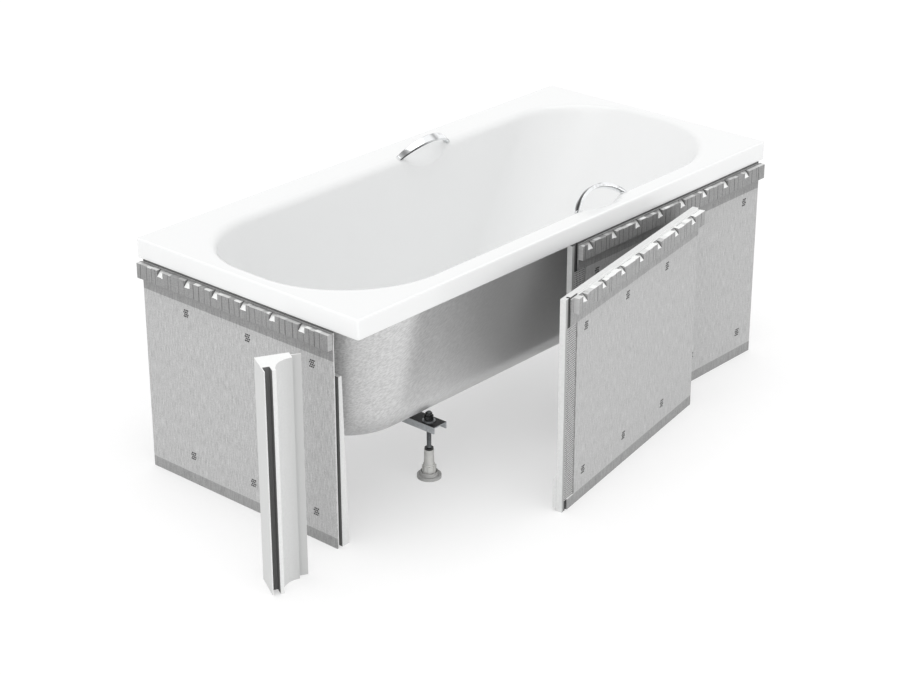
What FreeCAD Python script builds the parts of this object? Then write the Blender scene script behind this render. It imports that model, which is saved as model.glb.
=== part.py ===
import FreeCAD, Part
import math
import os
from FreeCAD import Placement, Rotation, Vector

# Skirted bathtub in millimetres: a pressed steel tub on screw legs, two grips, a waste set and a kit of
# skirt panels of which two pieces stand taken off in front of the tub.
# Frame: the origin is on the floor under the middle of the rim, +X runs towards the head end,
# +Y towards the wall and +Z up. The front of the tub faces -Y and the skirted end faces -X.

# Tub rim and sheet
tub_length = 1600.0
tub_width = 750.0
rim_height = 616.0
apron_height = 51.0
floor_height = 183.0
steel = 3.0
apron_corner_radius = 6.0
apron_top_radius = 4.0

# Basin: flat rim widths, and the reach of each wall from the rim's edge to the flat floor
end_margin = 22.0
front_margin = 40.0
back_margin = 75.0
rim_roll = 25.0
floor_bowl = 90.0
foot_reach = 158.0
head_reach = 488.0
front_reach = 170.0
back_reach = 175.0
front_corner_radius = 300.0
back_corner_radius = 250.0
least_straight_end = 60.0
floor_corner_radius = 80.0
section_steps = 6
cut_through = 5.0

# Grips and the hollow behind each
grip_x = 145.0
grip_chord = 206.0
grip_rise = 40.0
grip_lean = 27.0
grip_width = 22.0
grip_thickness = 8.0
grip_post_radius = 7.0
grip_post_inset = 10.0
grip_stud_radius = 4.0
grip_stud_clearance = 0.3
grip_stud_length = 20.0
grip_gasket_radius = 11.0
grip_gasket_thickness = 1.0
grip_nut_radius = 8.0
grip_nut_height = 6.0
grip_nut_clearance = 0.2
hollow_radius = 160.0
hollow_depth = 22.0
hollow_angle = 45.0
grip_angle = 30.0

# Rails, saddles and legs
rail_from_foot_edge = 232.0
rail_from_head_edge = 50.0
rail_width = 47.0
rail_depth = 18.0
rail_sheet = 3.0
saddle_height = 22.0
rail_length = 465.0
leg_offset = 194.5
saddle_length = 50.0
saddle_offset = 90.0
rail_screw_radius = 3.0
rail_screw_head_radius = 6.0
rail_screw_head = 4.0
rail_screw_depth = 14.0
screw_clearance = 0.3
rod_radius = 6.0
rod_clearance = 0.05
rod_hole_clearance = 0.5
rod_bottom = 25.0
rod_past_rail = 25.0
rod_nut_radius = 10.5
rod_nut_height = 8.0
cap_radius = 12.0
cap_height = 12.0
top_nut_radius = 9.0
top_nut_height = 8.0
washer_radius = 17.0
washer_height = 2.0
foot_base_radius = 31.0
foot_base_height = 8.0
foot_ring_radius = 23.0
foot_ring_wall = 2.5
foot_ring_height = 9.0
sleeve_bottom_radius = 16.5
sleeve_skirt_radius = 14.8
sleeve_waist_radius = 13.4
sleeve_top_radius = 12.2
sleeve_skirt_height = 30.0
sleeve_top = 78.0
sleeve_floor = 12.0
sleeve_rib_count = 8
sleeve_rib_height = 26.0
sleeve_rib_depth = 1.6
sleeve_rib_width = 5.0
collar_radius = 11.5
collar_height = 5.0

# Waste set: drain in the floor near the foot end, overflow in the foot end wall
drain_from_floor_edge = 62.0
drain_hole_radius = 26.0
drain_flange_radius = 35.0
drain_flange_height = 2.5
drain_tube_radius = 24.0
drain_tube_bore = 21.0
drain_tube_length = 16.0
plug_radius = 27.0
plug_height = 7.0
plug_seat_gap = 0.4
plug_stem_radius = 4.0
plug_stem_length = 40.0
stem_clearance = 0.08
drain_gasket_height = 2.5
drain_body_radius = 33.0
drain_body_wall = 4.0
drain_body_height = 62.0
drain_flange_wall = 5.0
guide_radius = 9.0
guide_height = 18.0
guide_spoke_width = 4.0
trap_radius = 38.0
trap_wall = 3.0
trap_height = 96.5
trap_neck = 6.0
outlet_radius = 25.0
outlet_bore = 22.0
outlet_length = 110.0
outlet_collar_radius = 31.0
outlet_collar_reach = 18.0
outlet_rise = 44.0
overflow_depth = 95.0
overflow_hole_radius = 20.0
overflow_ring_radius = 28.0
overflow_ring_height = 4.0
overflow_tube_radius = 19.0
overflow_tube_bore = 15.5
overflow_tube_length = 9.0
overflow_body_radius = 27.0
overflow_body_depth = 28.0
overflow_body_wall = 2.5
overflow_gasket_height = 2.0
knob_radius = 26.0
knob_height = 12.0
knob_gap = 0.4
knob_spindle_radius = 5.0
knob_spindle_length = 14.0
knob_web_radius = 8.0
knob_web_width = 5.0
knob_grip_depth = 5.0
knob_grip_width = 9.0
spindle_clearance = 0.08
pipe_radius = 11.0
pipe_bore = 9.5
pipe_drop = 50.0
pipe_bend = 45.0
pipe_socket = 12.0
cable_radius = 3.0
cable_offset = 18.0
cable_drop = 40.0
cable_bend = 40.0
cable_clearance = 0.6

# Earthing tab at the back end of the foot-end rail
tab_width = 30.0
tab_sheet = 3.0
tab_lap = 18.0
tab_overhang = 35.0
tab_hole_radius = 3.25
tab_hole_from_rail = 20.0

# Skirt panels: thickness runs inwards from the coated face
panel_proud = 3.0
seat_clearance = 0.3
rim_gap = 5.0
skin = 3.0
core = 16.0
band_bottom = 28.0
band_drop = 70.0
end_wall_gap = 21.0
left_panel_length = 684.0
head_wall_gap = 26.0
corner_gap = 3.0
panel_gap = 2.0
lip = 21.0
lip_groove = 6.5
lip_groove_depth = 9.0
mesh_width = 33.0
mesh_lap = 6.0
mesh_thickness = 1.0

# Toothed strip along the top of each panel, standing proud of the face
strip_depth = 16.7
strip_height = 40.0
strip_overhang = 4.0
left_strip_start = 12.0
notch_pitch = 97.0
notch_width = 20.0
notch_height = 15.0
notch_depth = 14.0
front_first_notch = 29.0
end_first_notch = 80.0

# Clusters of small holes through the face
hole_radius = 2.2
hole_pitch = 5.5
cluster_rows = 4
cluster_columns = 3
cluster_above_band = 49.0
cluster_below_band = 25.0
cluster_pitch = 215.0
front_first_cluster = 76.0
end_first_cluster = 150.0

# Tongue edge and wedge rib of the end panel, shims of the front panels
edge_skin = 2.5
edge_rebate = 30.0
edge_gap = 11.0
rib_drop = 115.0
rib_lap = 30.0
rib_top_depth = 11.0
rib_bottom_depth = 24.0
score_count = 5
score_first = 16.0
score_pitch = 9.0
score_width = 1.6
score_depth = 2.0
shim_length = 60.0
shim_depth = 10.0
shim_bottom = 8.0
shim_top = 100.0
shim_slope = 16.0

# Corner post: two legs of equal reach round a cove
post_leg = 80.0
post_thickness = 28.5
post_lip = 2.6
post_groove = 16.8
post_groove_depth = 23.0
tongue_thickness = 3.5
tongue_tip = 1.0
tongue_length = 24.0
tongue_clearance = 1.2

# Where the two loose pieces stand, measured from the skirt's outer corner
left_panel_along = 511.0
left_panel_out = 202.0
left_panel_turn = 10.05
post_out = 212.0
post_along = 116.0
post_turn = -118.5

# Places worked out from the sizes above
rim_under = rim_height - apron_height
floor_top = floor_height
floor_under = floor_top - steel
basin_depth = rim_height - floor_top
rail_top = floor_under - saddle_height
rod_top = rail_top + rod_past_rail
pipe_level = floor_under - pipe_drop
cable_level = floor_under - cable_drop
foot_edge = -tub_length / 2 + end_margin
head_edge = tub_length / 2 - end_margin
front_edge = -tub_width / 2 + front_margin
back_edge = tub_width / 2 - back_margin
middle_y = (front_edge + back_edge) / 2
corner_room = back_edge - front_edge - least_straight_end
corner_share = min(1.0, corner_room / (front_corner_radius + back_corner_radius))
drain_x = foot_edge + foot_reach + drain_from_floor_edge
rail_foot_x = foot_edge + foot_reach + rail_from_foot_edge
rail_head_x = head_edge - head_reach - rail_from_head_edge
board = skin + core
core_top = rim_under - seat_clearance
panel_top = rim_under - rim_gap
strip_bottom = panel_top - strip_height
band_top = panel_top - band_drop
cluster_low = band_bottom + cluster_above_band
cluster_high = band_top - cluster_below_band
rib_top = panel_top - rib_drop
corner_x = -tub_length / 2 - panel_proud
corner_y = -tub_width / 2 - panel_proud
end_panel_y = tub_width / 2 - end_wall_gap
end_panel_length = end_panel_y - corner_y - post_leg - corner_gap
right_panel_x = corner_x + post_leg + corner_gap + left_panel_length + panel_gap + lip
right_panel_length = tub_length / 2 - head_wall_gap - right_panel_x
left_panel_x = corner_x + left_panel_along
left_panel_y = corner_y - left_panel_out
post_x = corner_x - post_out
post_y = corner_y + post_along
drain_body_top = floor_under - drain_gasket_height
drain_body_bottom = drain_body_top - drain_flange_wall - drain_body_height
trap_bottom = drain_body_bottom - trap_height
outlet_height = trap_bottom + outlet_rise


def box(x0, x1, y0, y1, z0, z1):
    """A block between two corners."""
    return Part.makeBox(x1 - x0, y1 - y0, z1 - z0, Vector(x0, y0, z0))


def rod(x, y, z0, z1, radius):
    """An upright cylinder from z0 to z1."""
    return Part.makeCylinder(radius, z1 - z0, Vector(x, y, z0))


def tube(x, y, z0, z1, radius, bore):
    """An upright pipe from z0 to z1."""
    return rod(x, y, z0, z1, radius).cut(rod(x, y, z0, z1, bore))


def hexagon(x, y, z0, z1, radius):
    """An upright six-sided prism, radius to its corners."""
    angles = [math.radians(60 * i) for i in range(7)]
    corners = [Vector(x + radius * math.cos(a), y + radius * math.sin(a), z0) for a in angles]
    return Part.Face(Part.makePolygon(corners)).extrude(Vector(0, 0, z1 - z0))


def prism(points, direction):
    """A closed polygon pulled along a direction."""
    return Part.Face(Part.makePolygon(points + points[:1])).extrude(direction)


def placed(shape, placement):
    """A copy of the shape at a placement."""
    copy = shape.copy()
    copy.Placement = placement.multiply(copy.Placement)
    return copy


def swept(path, radius, start, direction):
    """A round bar along a wire."""
    ring = Part.Wire(Part.makeCircle(radius, start, direction))
    return Part.Wire(path).makePipeShell([ring], True, False)


# Basin surfaces
def wall_inset(depth, reach, roll, bowl):
    """Distance from the rim's edge to the wall at a depth: a roll, a straight slope, then a bowl."""
    turn = roll + bowl
    rest = basin_depth - turn
    slope = math.atan2(rest, reach) + math.asin(turn / math.hypot(rest, reach))
    if depth < roll * (1 - math.cos(slope)):
        return roll * math.sin(math.acos(1 - depth / roll))
    if depth > basin_depth - bowl * (1 - math.cos(slope)):
        return reach - bowl * math.sin(math.acos(1 - max(basin_depth - depth, 0) / bowl))
    return roll * math.sin(slope) + (depth - roll * (1 - math.cos(slope))) / math.tan(slope)


def rounded_outline(x0, x1, y0, y1, front_radius, back_radius, z):
    """A closed outline of four straight sides and four corner arcs."""
    half = math.sqrt(0.5)
    corners = [(x1 - front_radius, y0 + front_radius, front_radius, -90),
               (x1 - back_radius, y1 - back_radius, back_radius, 0),
               (x0 + back_radius, y1 - back_radius, back_radius, 90),
               (x0 + front_radius, y0 + front_radius, front_radius, 180)]
    edges = []
    last = Vector(x0 + front_radius, y0, z)
    for cx, cy, radius, start in corners:
        turn = Rotation(Vector(0, 0, 1), start)
        first = Vector(cx, cy, z) + turn.multVec(Vector(radius, 0, 0))
        middle = Vector(cx, cy, z) + turn.multVec(Vector(radius * half, radius * half, 0))
        end = Vector(cx, cy, z) + turn.multVec(Vector(0, radius, 0))
        edges.append(Part.makeLine(last, first))
        edges.append(Part.Arc(first, middle, end).toShape())
        last = end
    return Part.Wire(edges)


def basin_section(depth, roll, bowl, top):
    """The basin's outline at a depth below its top."""
    foot = wall_inset(depth, foot_reach, roll, bowl)
    head = wall_inset(depth, head_reach, roll, bowl)
    front = wall_inset(depth, front_reach, roll, bowl)
    back = wall_inset(depth, back_reach, roll, bowl)
    share = front / front_reach
    front_radius = front_corner_radius * corner_share
    back_radius = back_corner_radius * corner_share
    front_radius = front_radius + (floor_corner_radius - front_radius) * share
    back_radius = back_radius + (floor_corner_radius - back_radius) * share
    return rounded_outline(foot_edge + foot, head_edge - head, front_edge + front, back_edge - back,
                           front_radius, back_radius, top - depth)


def basin_solid(roll, bowl, top):
    """The basin as a solid, lofted through outlines close together at the roll and the bowl."""
    bends = [1 - math.cos(math.radians(90 * i / section_steps)) for i in range(section_steps + 1)]
    depths = [roll * bend for bend in bends]
    depths.append(basin_depth / 2)
    depths.extend(basin_depth - bowl * bend for bend in reversed(bends))
    wires = [basin_section(depth, roll, bowl, top) for depth in depths]
    return Part.makeLoft(wires, True, True)


def roll_frame(side, degrees):
    """Placement on the rim's roll, X along the rim and Z square to the roll at an angle from upright."""
    angle = math.radians(degrees)
    edge = front_edge if side < 0 else back_edge
    drop = rim_roll * (1 - math.cos(angle))
    foot = Vector(grip_x, edge - side * rim_roll * math.sin(angle), rim_height - drop)
    return Placement(foot, Rotation(Vector(1, 0, 0), side * degrees))


def grip_frame(side):
    """Placement of a grip's middle on the roll."""
    return roll_frame(side, grip_angle)


def overflow_frame():
    """Placement on the foot end wall's inner face, Z pointing into the basin."""
    near = wall_inset(overflow_depth - 1, foot_reach, rim_roll, floor_bowl)
    far = wall_inset(overflow_depth + 1, foot_reach, rim_roll, floor_bowl)
    here = wall_inset(overflow_depth, foot_reach, rim_roll, floor_bowl)
    lean = math.degrees(math.atan2(far - near, 2))
    spot = Vector(foot_edge + here, middle_y, rim_height - overflow_depth)
    return Placement(spot, Rotation(Vector(0, 1, 0), 90 - lean))


# Tub
def rim_tray():
    """The flat rim with its apron, open below."""
    outer = box(-tub_length / 2, tub_length / 2, -tub_width / 2, tub_width / 2, rim_under, rim_height)
    upright = [edge for edge in outer.Edges if abs(edge.tangentAt(edge.FirstParameter).z) > 0.5]
    outer = outer.makeFillet(apron_corner_radius, upright)
    upper = [edge for edge in outer.Edges if edge.BoundBox.ZMin > rim_height - steel / 2]
    outer = outer.makeFillet(apron_top_radius, upper)
    half_length = tub_length / 2 - steel
    half_width = tub_width / 2 - steel
    inner = box(-half_length, half_length, -half_width, half_width, rim_under - steel, rim_height - steel)
    upright = [edge for edge in inner.Edges if abs(edge.tangentAt(edge.FirstParameter).z) > 0.5]
    inner = inner.makeFillet(apron_corner_radius - steel, upright)
    return outer.cut(inner)


def grip_hollow(side, extra):
    """A ball that presses the hollow behind a grip into the wall."""
    ball = Part.makeSphere(hollow_radius + extra)
    lift = Placement(Vector(0, 0, hollow_radius - hollow_depth), Rotation())
    return placed(ball, roll_frame(side, hollow_angle).multiply(lift))


def tub_shell():
    """The pressed steel shell: rim, apron, basin, hollows and holes."""
    inside = tub_width / 2 - steel
    below_rim = box(-tub_length / 2, tub_length / 2, -inside, inside, 0, rim_height)
    shell = rim_tray().fuse(basin_solid(rim_roll - steel, floor_bowl + steel, rim_height - steel))
    for side in (-1, 1):
        shell = shell.fuse(grip_hollow(side, steel).common(below_rim))
    opening = Part.Face(basin_section(0, rim_roll, floor_bowl, rim_height)).extrude(Vector(0, 0, cut_through))
    shell = shell.cut(basin_solid(rim_roll, floor_bowl, rim_height)).cut(opening)
    for side in (-1, 1):
        shell = shell.cut(grip_hollow(side, 0))
        for end in (-1, 1):
            hole = Part.makeCylinder(grip_stud_radius + grip_stud_clearance, rim_roll,
                                     Vector(end * (grip_chord / 2 - grip_post_inset), 0, -rim_roll / 2))
            shell = shell.cut(placed(hole, grip_frame(side)))
    drain_hole = rod(drain_x, middle_y, floor_under - cut_through, floor_top + cut_through, drain_hole_radius)
    shell = shell.cut(drain_hole)
    hole = Part.makeCylinder(overflow_hole_radius, 4 * cut_through, Vector(0, 0, -2 * cut_through))
    return shell.cut(placed(hole, overflow_frame()))


# Grips
def grip(side):
    """A flat bow that leans over the basin, on two posts with studs through the roll of the rim."""
    frame = grip_frame(side)
    rise = math.hypot(grip_rise, grip_lean)
    upward = Vector(0, -side * grip_lean / rise, grip_rise / rise)
    radius = (grip_chord ** 2 / 4 + rise ** 2) / (2 * rise)
    centre = frame.Base + upward * (rise - radius)
    half_angle = math.asin(grip_chord / 2 / radius)
    arcs = []
    for reach in (radius, radius - grip_thickness):
        points = [centre + Vector(reach * math.sin(a), 0, 0) + upward * (reach * math.cos(a))
                  for a in (-half_angle, 0, half_angle)]
        arcs.append(Part.Arc(*points).toShape())
    ends = [Part.makeLine(arcs[0].Vertexes[i].Point, arcs[1].Vertexes[i].Point) for i in (0, 1)]
    face = Part.Face(Part.Wire(Part.__sortEdges__(arcs + ends)))
    across = Vector(1, 0, 0).cross(upward)
    bow = face.extrude(across * grip_width)
    bow.translate(across * (-grip_width / 2))
    for end in (-1, 1):
        x = end * (grip_chord / 2 - grip_post_inset)
        top = math.sqrt(radius ** 2 - x ** 2) - (radius - rise)
        bow = bow.fuse(placed(rod(x, 0, 0, top, grip_post_radius), frame))
    bow = bow.cut(roll_cylinder(side, rim_roll + grip_gasket_thickness))
    for end in (-1, 1):
        x = end * (grip_chord / 2 - grip_post_inset)
        bow = bow.fuse(placed(rod(x, 0, -grip_stud_length, grip_gasket_thickness, grip_stud_radius), frame))
    return bow.removeSplitter()


def grip_ring(side, end, radius, z0, z1):
    """A ring round one stud of a grip."""
    x = end * (grip_chord / 2 - grip_post_inset)
    ring = tube(x, 0, z0, z1, radius, grip_stud_radius + grip_stud_clearance / 2)
    return placed(ring, grip_frame(side))


def roll_cylinder(side, radius):
    """A round bar along a grip's length about the middle of the rim's roll."""
    edge = front_edge if side < 0 else back_edge
    start = Vector(grip_x - grip_chord, edge, rim_height - rim_roll)
    return Part.makeCylinder(radius, grip_chord * 2, start, Vector(1, 0, 0))


def grip_gaskets():
    """Rubber rings bent over the roll under the grips' posts."""
    rings = []
    for side in (-1, 1):
        layer = roll_cylinder(side, rim_roll + grip_gasket_thickness).cut(roll_cylinder(side, rim_roll))
        for end in (-1, 1):
            ring = grip_ring(side, end, grip_gasket_radius, -rim_roll / 2, rim_roll / 2)
            rings.append(ring.common(layer))
    return rings


def grip_nuts():
    """Nuts on the studs behind the wall, seated on the inside of the bend."""
    bend = rim_roll - steel
    top = math.sqrt(bend ** 2 - grip_nut_radius ** 2) - rim_roll - grip_nut_clearance
    low = top - grip_nut_height
    return [grip_ring(side, end, grip_nut_radius, low, top) for side in (-1, 1) for end in (-1, 1)]


# Rails and legs
def leg_places():
    """Middle of each leg, front foot end first."""
    return [(x, middle_y + y) for x in (rail_foot_x, rail_head_x) for y in (-leg_offset, leg_offset)]


def saddle_places():
    """Middle of each saddle."""
    return [(x, middle_y + y) for x in (rail_foot_x, rail_head_x) for y in (-saddle_offset, saddle_offset)]


def rail(x):
    """An inverted channel across the tub with holes for two rods and two screws."""
    half = rail_length / 2
    under = rail_top - rail_depth
    side = rail_width / 2
    inside = side - rail_sheet
    channel = box(x - side, x + side, middle_y - half, middle_y + half, under, rail_top)
    under_web = rail_top - rail_sheet
    channel = channel.cut(box(x - inside, x + inside, middle_y - half, middle_y + half, under, under_web))
    for offset in (-leg_offset, leg_offset):
        channel = channel.cut(rod(x, middle_y + offset, under, rail_top, rod_radius + rod_hole_clearance))
    for offset in (-saddle_offset, saddle_offset):
        channel = channel.cut(rod(x, middle_y + offset, under, rail_top, rail_screw_radius + screw_clearance))
    return channel


def rail_saddles():
    """Moulded blocks between the rails and the flat floor of the tub."""
    blocks = []
    for x, y in saddle_places():
        block = box(x - rail_width / 2, x + rail_width / 2, y - saddle_length / 2, y + saddle_length / 2,
                    rail_top, floor_under)
        hole = rod(x, y, rail_top, rail_top + rail_screw_depth, rail_screw_radius + screw_clearance)
        blocks.append(block.cut(hole))
    return blocks


def rail_screws():
    """Screws up through the rails into the saddles."""
    web = rail_top - rail_sheet
    screws = []
    for x, y in saddle_places():
        head = rod(x, y, web - rail_screw_head, web, rail_screw_head_radius)
        tip = rail_top + rail_screw_depth - screw_clearance
        screws.append(head.fuse(rod(x, y, web, tip, rail_screw_radius)))
    return screws


def leg_rod(x, y):
    """A threaded rod from the sleeve up through the rail."""
    return rod(x, y, rod_bottom, rod_top, rod_radius)


def rod_ring(x, y, z0, z1, radius):
    """A round ring on a rod."""
    return tube(x, y, z0, z1, radius, rod_radius)


def rod_nut(x, y, z0, z1, radius):
    """A hexagon nut on a rod."""
    return hexagon(x, y, z0, z1, radius).cut(rod(x, y, z0, z1, rod_radius))


def rod_nuts():
    """Nuts under the rails."""
    top = rail_top - rail_sheet
    return [rod_nut(x, y, top - rod_nut_height, top, rod_nut_radius) for x, y in leg_places()]


def rod_washers():
    """Washers on the rails."""
    return [rod_ring(x, y, rail_top, rail_top + washer_height, washer_radius) for x, y in leg_places()]


def rod_caps():
    """Black plastic caps over the washers."""
    base = rail_top + washer_height
    return [rod_ring(x, y, base, base + cap_height, cap_radius) for x, y in leg_places()]


def rod_top_nuts():
    """Bright nuts that lock the caps."""
    base = rail_top + washer_height + cap_height
    return [rod_nut(x, y, base, base + top_nut_height, top_nut_radius) for x, y in leg_places()]


def foot_base(x, y):
    """A round foot with a raised ring round the sleeve."""
    base = rod(x, y, 0, foot_base_height, foot_base_radius)
    ring = tube(x, y, foot_base_height, foot_base_height + foot_ring_height, foot_ring_radius,
                foot_ring_radius - foot_ring_wall)
    return base.fuse(ring)


def foot_sleeve(x, y):
    """A tapered sleeve with a wider ribbed skirt, bored to run on the rod."""
    waist = foot_base_height + sleeve_skirt_height
    base = Vector(x, y, foot_base_height)
    skirt = Part.makeCone(sleeve_bottom_radius, sleeve_skirt_radius, sleeve_skirt_height, base)
    neck = Part.makeCone(sleeve_waist_radius, sleeve_top_radius, sleeve_top - waist, Vector(x, y, waist))
    cone = skirt.fuse(neck)
    half = sleeve_rib_width / 2
    for i in range(sleeve_rib_count):
        rib = box(x, x + sleeve_bottom_radius + sleeve_rib_depth, y - half, y + half,
                  foot_base_height, foot_base_height + sleeve_rib_height)
        rib.rotate(Vector(x, y, 0), Vector(0, 0, 1), 360 / sleeve_rib_count * i)
        cone = cone.fuse(rib)
    return cone.cut(rod(x, y, sleeve_floor, sleeve_top, rod_radius + rod_clearance)).removeSplitter()


def foot_collar(x, y):
    """A black ring on top of the sleeve."""
    return tube(x, y, sleeve_top, sleeve_top + collar_height, collar_radius, rod_radius + rod_clearance)


# Waste set
def drain_flange():
    """The bright ring on the floor with its tube down through the hole."""
    ring = rod(drain_x, middle_y, floor_top, floor_top + drain_flange_height, drain_flange_radius)
    pipe = rod(drain_x, middle_y, floor_top - drain_tube_length, floor_top, drain_tube_radius)
    low = floor_top - drain_tube_length
    bore = rod(drain_x, middle_y, low, floor_top + drain_flange_height, drain_tube_bore)
    return ring.fuse(pipe).cut(bore)


def drain_plug():
    """The domed plug over the flange, with its stem."""
    seat = floor_top + drain_flange_height + plug_seat_gap
    dome = Part.makeCone(plug_radius, plug_radius / 2, plug_height, Vector(drain_x, middle_y, seat))
    return dome.fuse(rod(drain_x, middle_y, seat - plug_stem_length, seat, plug_stem_radius))


def drain_gasket():
    """The rubber ring under the tub's floor."""
    return tube(drain_x, middle_y, floor_under - drain_gasket_height, floor_under, drain_flange_radius,
                drain_tube_radius + screw_clearance)


def drain_body():
    """The cup under the drain, with the stem's guide on a spoke and a socket for the overflow pipe."""
    cup_top = drain_body_top - drain_flange_wall
    inner = drain_body_radius - drain_body_wall
    flange = rod(drain_x, middle_y, cup_top, drain_body_top, drain_flange_radius)
    cup = flange.fuse(rod(drain_x, middle_y, drain_body_bottom, cup_top, drain_body_radius))
    along = Vector(1, 0, 0)
    socket_end = Vector(drain_x - drain_body_radius - pipe_socket, middle_y, pipe_level)
    pipe_end = socket_end + along * pipe_socket
    socket_length = pipe_socket + drain_body_radius
    cup = cup.fuse(Part.makeCylinder(pipe_radius + drain_body_wall, socket_length, socket_end, along))
    cup = cup.cut(rod(drain_x, middle_y, drain_body_bottom, drain_body_top, inner))
    cup = cup.cut(Part.makeCylinder(pipe_radius, pipe_socket, socket_end, along))
    cup = cup.cut(Part.makeCylinder(pipe_bore, drain_body_radius, pipe_end, along))
    guide_top = floor_top + drain_flange_height + plug_seat_gap - plug_stem_length + guide_height
    reach = inner + drain_body_wall / 2
    half = guide_spoke_width / 2
    spoke = box(drain_x - reach, drain_x + reach, middle_y - half, middle_y + half,
                guide_top - guide_spoke_width, guide_top)
    guide = rod(drain_x, middle_y, guide_top - guide_height, guide_top, guide_radius).fuse(spoke)
    bore = rod(drain_x, middle_y, guide_top - guide_height, guide_top, plug_stem_radius + stem_clearance)
    return cup.fuse(guide).cut(bore)


def trap_body():
    """The bottle trap under the drain with its outlet towards the wall."""
    top = drain_body_bottom
    bottle = rod(drain_x, middle_y, trap_bottom, top - trap_neck, trap_radius)
    bottle = bottle.fuse(rod(drain_x, middle_y, top - trap_neck, top, drain_body_radius))
    middle = Vector(drain_x, middle_y, outlet_height)
    reach = outlet_length + trap_radius
    bottle = bottle.fuse(Part.makeCylinder(outlet_radius, reach, middle, Vector(0, 1, 0)))
    collar_reach = trap_radius + outlet_collar_reach
    bottle = bottle.fuse(Part.makeCylinder(outlet_collar_radius, collar_reach, middle, Vector(0, 1, 0)))
    bottle = bottle.cut(rod(drain_x, middle_y, trap_bottom + trap_wall, top - trap_neck - trap_wall,
                            trap_radius - trap_wall))
    neck_bore = drain_body_radius - drain_body_wall
    bottle = bottle.cut(rod(drain_x, middle_y, top - trap_neck - trap_wall, top, neck_bore))
    return bottle.cut(Part.makeCylinder(outlet_bore, reach, middle, Vector(0, 1, 0)))


def overflow_ring():
    """The ring inside the overflow hole, with a web that carries the knob."""
    ring = rod(0, 0, 0, overflow_ring_height, overflow_ring_radius)
    ring = ring.fuse(rod(0, 0, -overflow_tube_length, 0, overflow_tube_radius))
    ring = ring.cut(rod(0, 0, -overflow_tube_length, overflow_ring_height, overflow_tube_bore))
    reach = (overflow_tube_bore + overflow_tube_radius) / 2
    half = knob_web_width / 2
    web = box(-reach, reach, -half, half, -overflow_tube_length, overflow_ring_height)
    web = web.fuse(rod(0, 0, -overflow_tube_length, overflow_ring_height, knob_web_radius))
    ring = ring.fuse(web)
    bore = rod(0, 0, -overflow_tube_length, overflow_ring_height, knob_spindle_radius + spindle_clearance)
    return placed(ring.cut(bore), overflow_frame())


def overflow_knob():
    """The turning cover with a finger bar and a spindle."""
    base = overflow_ring_height + knob_gap
    knob = Part.makeCone(knob_radius, knob_radius - knob_height / 4, knob_height, Vector(0, 0, base))
    top = base + knob_height
    half = knob_grip_width / 2
    bar = box(-knob_radius / 2, knob_radius / 2, -half, half, top, top + knob_grip_depth)
    knob = knob.fuse(bar).fuse(rod(0, 0, base - knob_spindle_length, base, knob_spindle_radius))
    return placed(knob, overflow_frame())


def overflow_gasket():
    """The rubber ring between the wall and the overflow body."""
    ring = tube(0, 0, -steel - overflow_gasket_height, -steel, overflow_body_radius, overflow_hole_radius)
    return placed(ring, overflow_frame())


def overflow_outlet():
    """Place of the overflow pipe's upper end."""
    back = -steel - overflow_gasket_height - overflow_body_depth / 2
    spot = overflow_frame().multVec(Vector(0, 0, back))
    return Vector(spot.x, middle_y, spot.z - overflow_body_radius)


def overflow_body():
    """The slim box behind the overflow hole, with an outlet downwards."""
    top = -steel - overflow_gasket_height
    bottom = top - overflow_body_depth
    inner = overflow_body_radius - overflow_body_wall
    hollow = placed(rod(0, 0, bottom + overflow_body_wall, top, inner), overflow_frame())
    case = placed(rod(0, 0, bottom, top, overflow_body_radius), overflow_frame())
    end = overflow_outlet()
    wall = pipe_radius + overflow_body_wall
    spout = rod(end.x, end.y, end.z - pipe_socket, end.z + overflow_body_radius / 2, wall)
    case = case.fuse(spout).cut(hollow)
    case = case.cut(rod(end.x, end.y, end.z - pipe_socket, end.z, pipe_radius))
    return case.cut(rod(end.x, end.y, end.z - pipe_socket, end.z + overflow_body_radius / 2, pipe_bore))


def bent_path(start, corner_z, end_x, bend, y):
    """Straight down, a quarter bend, then level along +X."""
    down_end = Vector(start.x, y, corner_z + bend)
    short = bend * (1 - math.sqrt(0.5))
    middle = Vector(start.x + short, y, corner_z + short)
    level_start = Vector(start.x + bend, y, corner_z)
    level_end = Vector(end_x, y, corner_z)
    edges = [Part.makeLine(start, down_end), Part.Arc(down_end, middle, level_start).toShape(),
             Part.makeLine(level_start, level_end)]
    return Part.Wire(edges)


def overflow_pipe():
    """The pipe from the overflow down and under the tub to the drain."""
    start = overflow_outlet()
    path = bent_path(start, pipe_level, drain_x - drain_body_radius, pipe_bend, middle_y)
    outer = swept(path, pipe_radius, start, Vector(0, 0, -1))
    inner = swept(path, pipe_bore, start, Vector(0, 0, -1))
    return outer.cut(inner)


def plug_cable():
    """The cable in its sheath from the overflow body to the drain body."""
    y = middle_y + cable_offset
    near = cable_offset - cable_radius
    upper = overflow_outlet()
    drop = math.sqrt(overflow_body_radius ** 2 - near ** 2) + cable_clearance
    start = Vector(upper.x, y, upper.z + overflow_body_radius - drop)
    reach = math.sqrt(drain_body_radius ** 2 - near ** 2) + cable_clearance
    path = bent_path(start, cable_level, drain_x - reach, cable_bend, y)
    return swept(path, cable_radius, start, Vector(0, 0, -1))


def earth_tab():
    """A steel tab under the back end of the foot-end rail, with a hole for the earth lead."""
    top = rail_top - rail_sheet
    rail_end = middle_y + rail_length / 2
    half = tab_width / 2
    under = top - tab_sheet
    tab = box(rail_foot_x - half, rail_foot_x + half, rail_end - tab_lap, rail_end + tab_overhang, under, top)
    return tab.cut(rod(rail_foot_x, rail_end + tab_hole_from_rail, under, top, tab_hole_radius))


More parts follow.
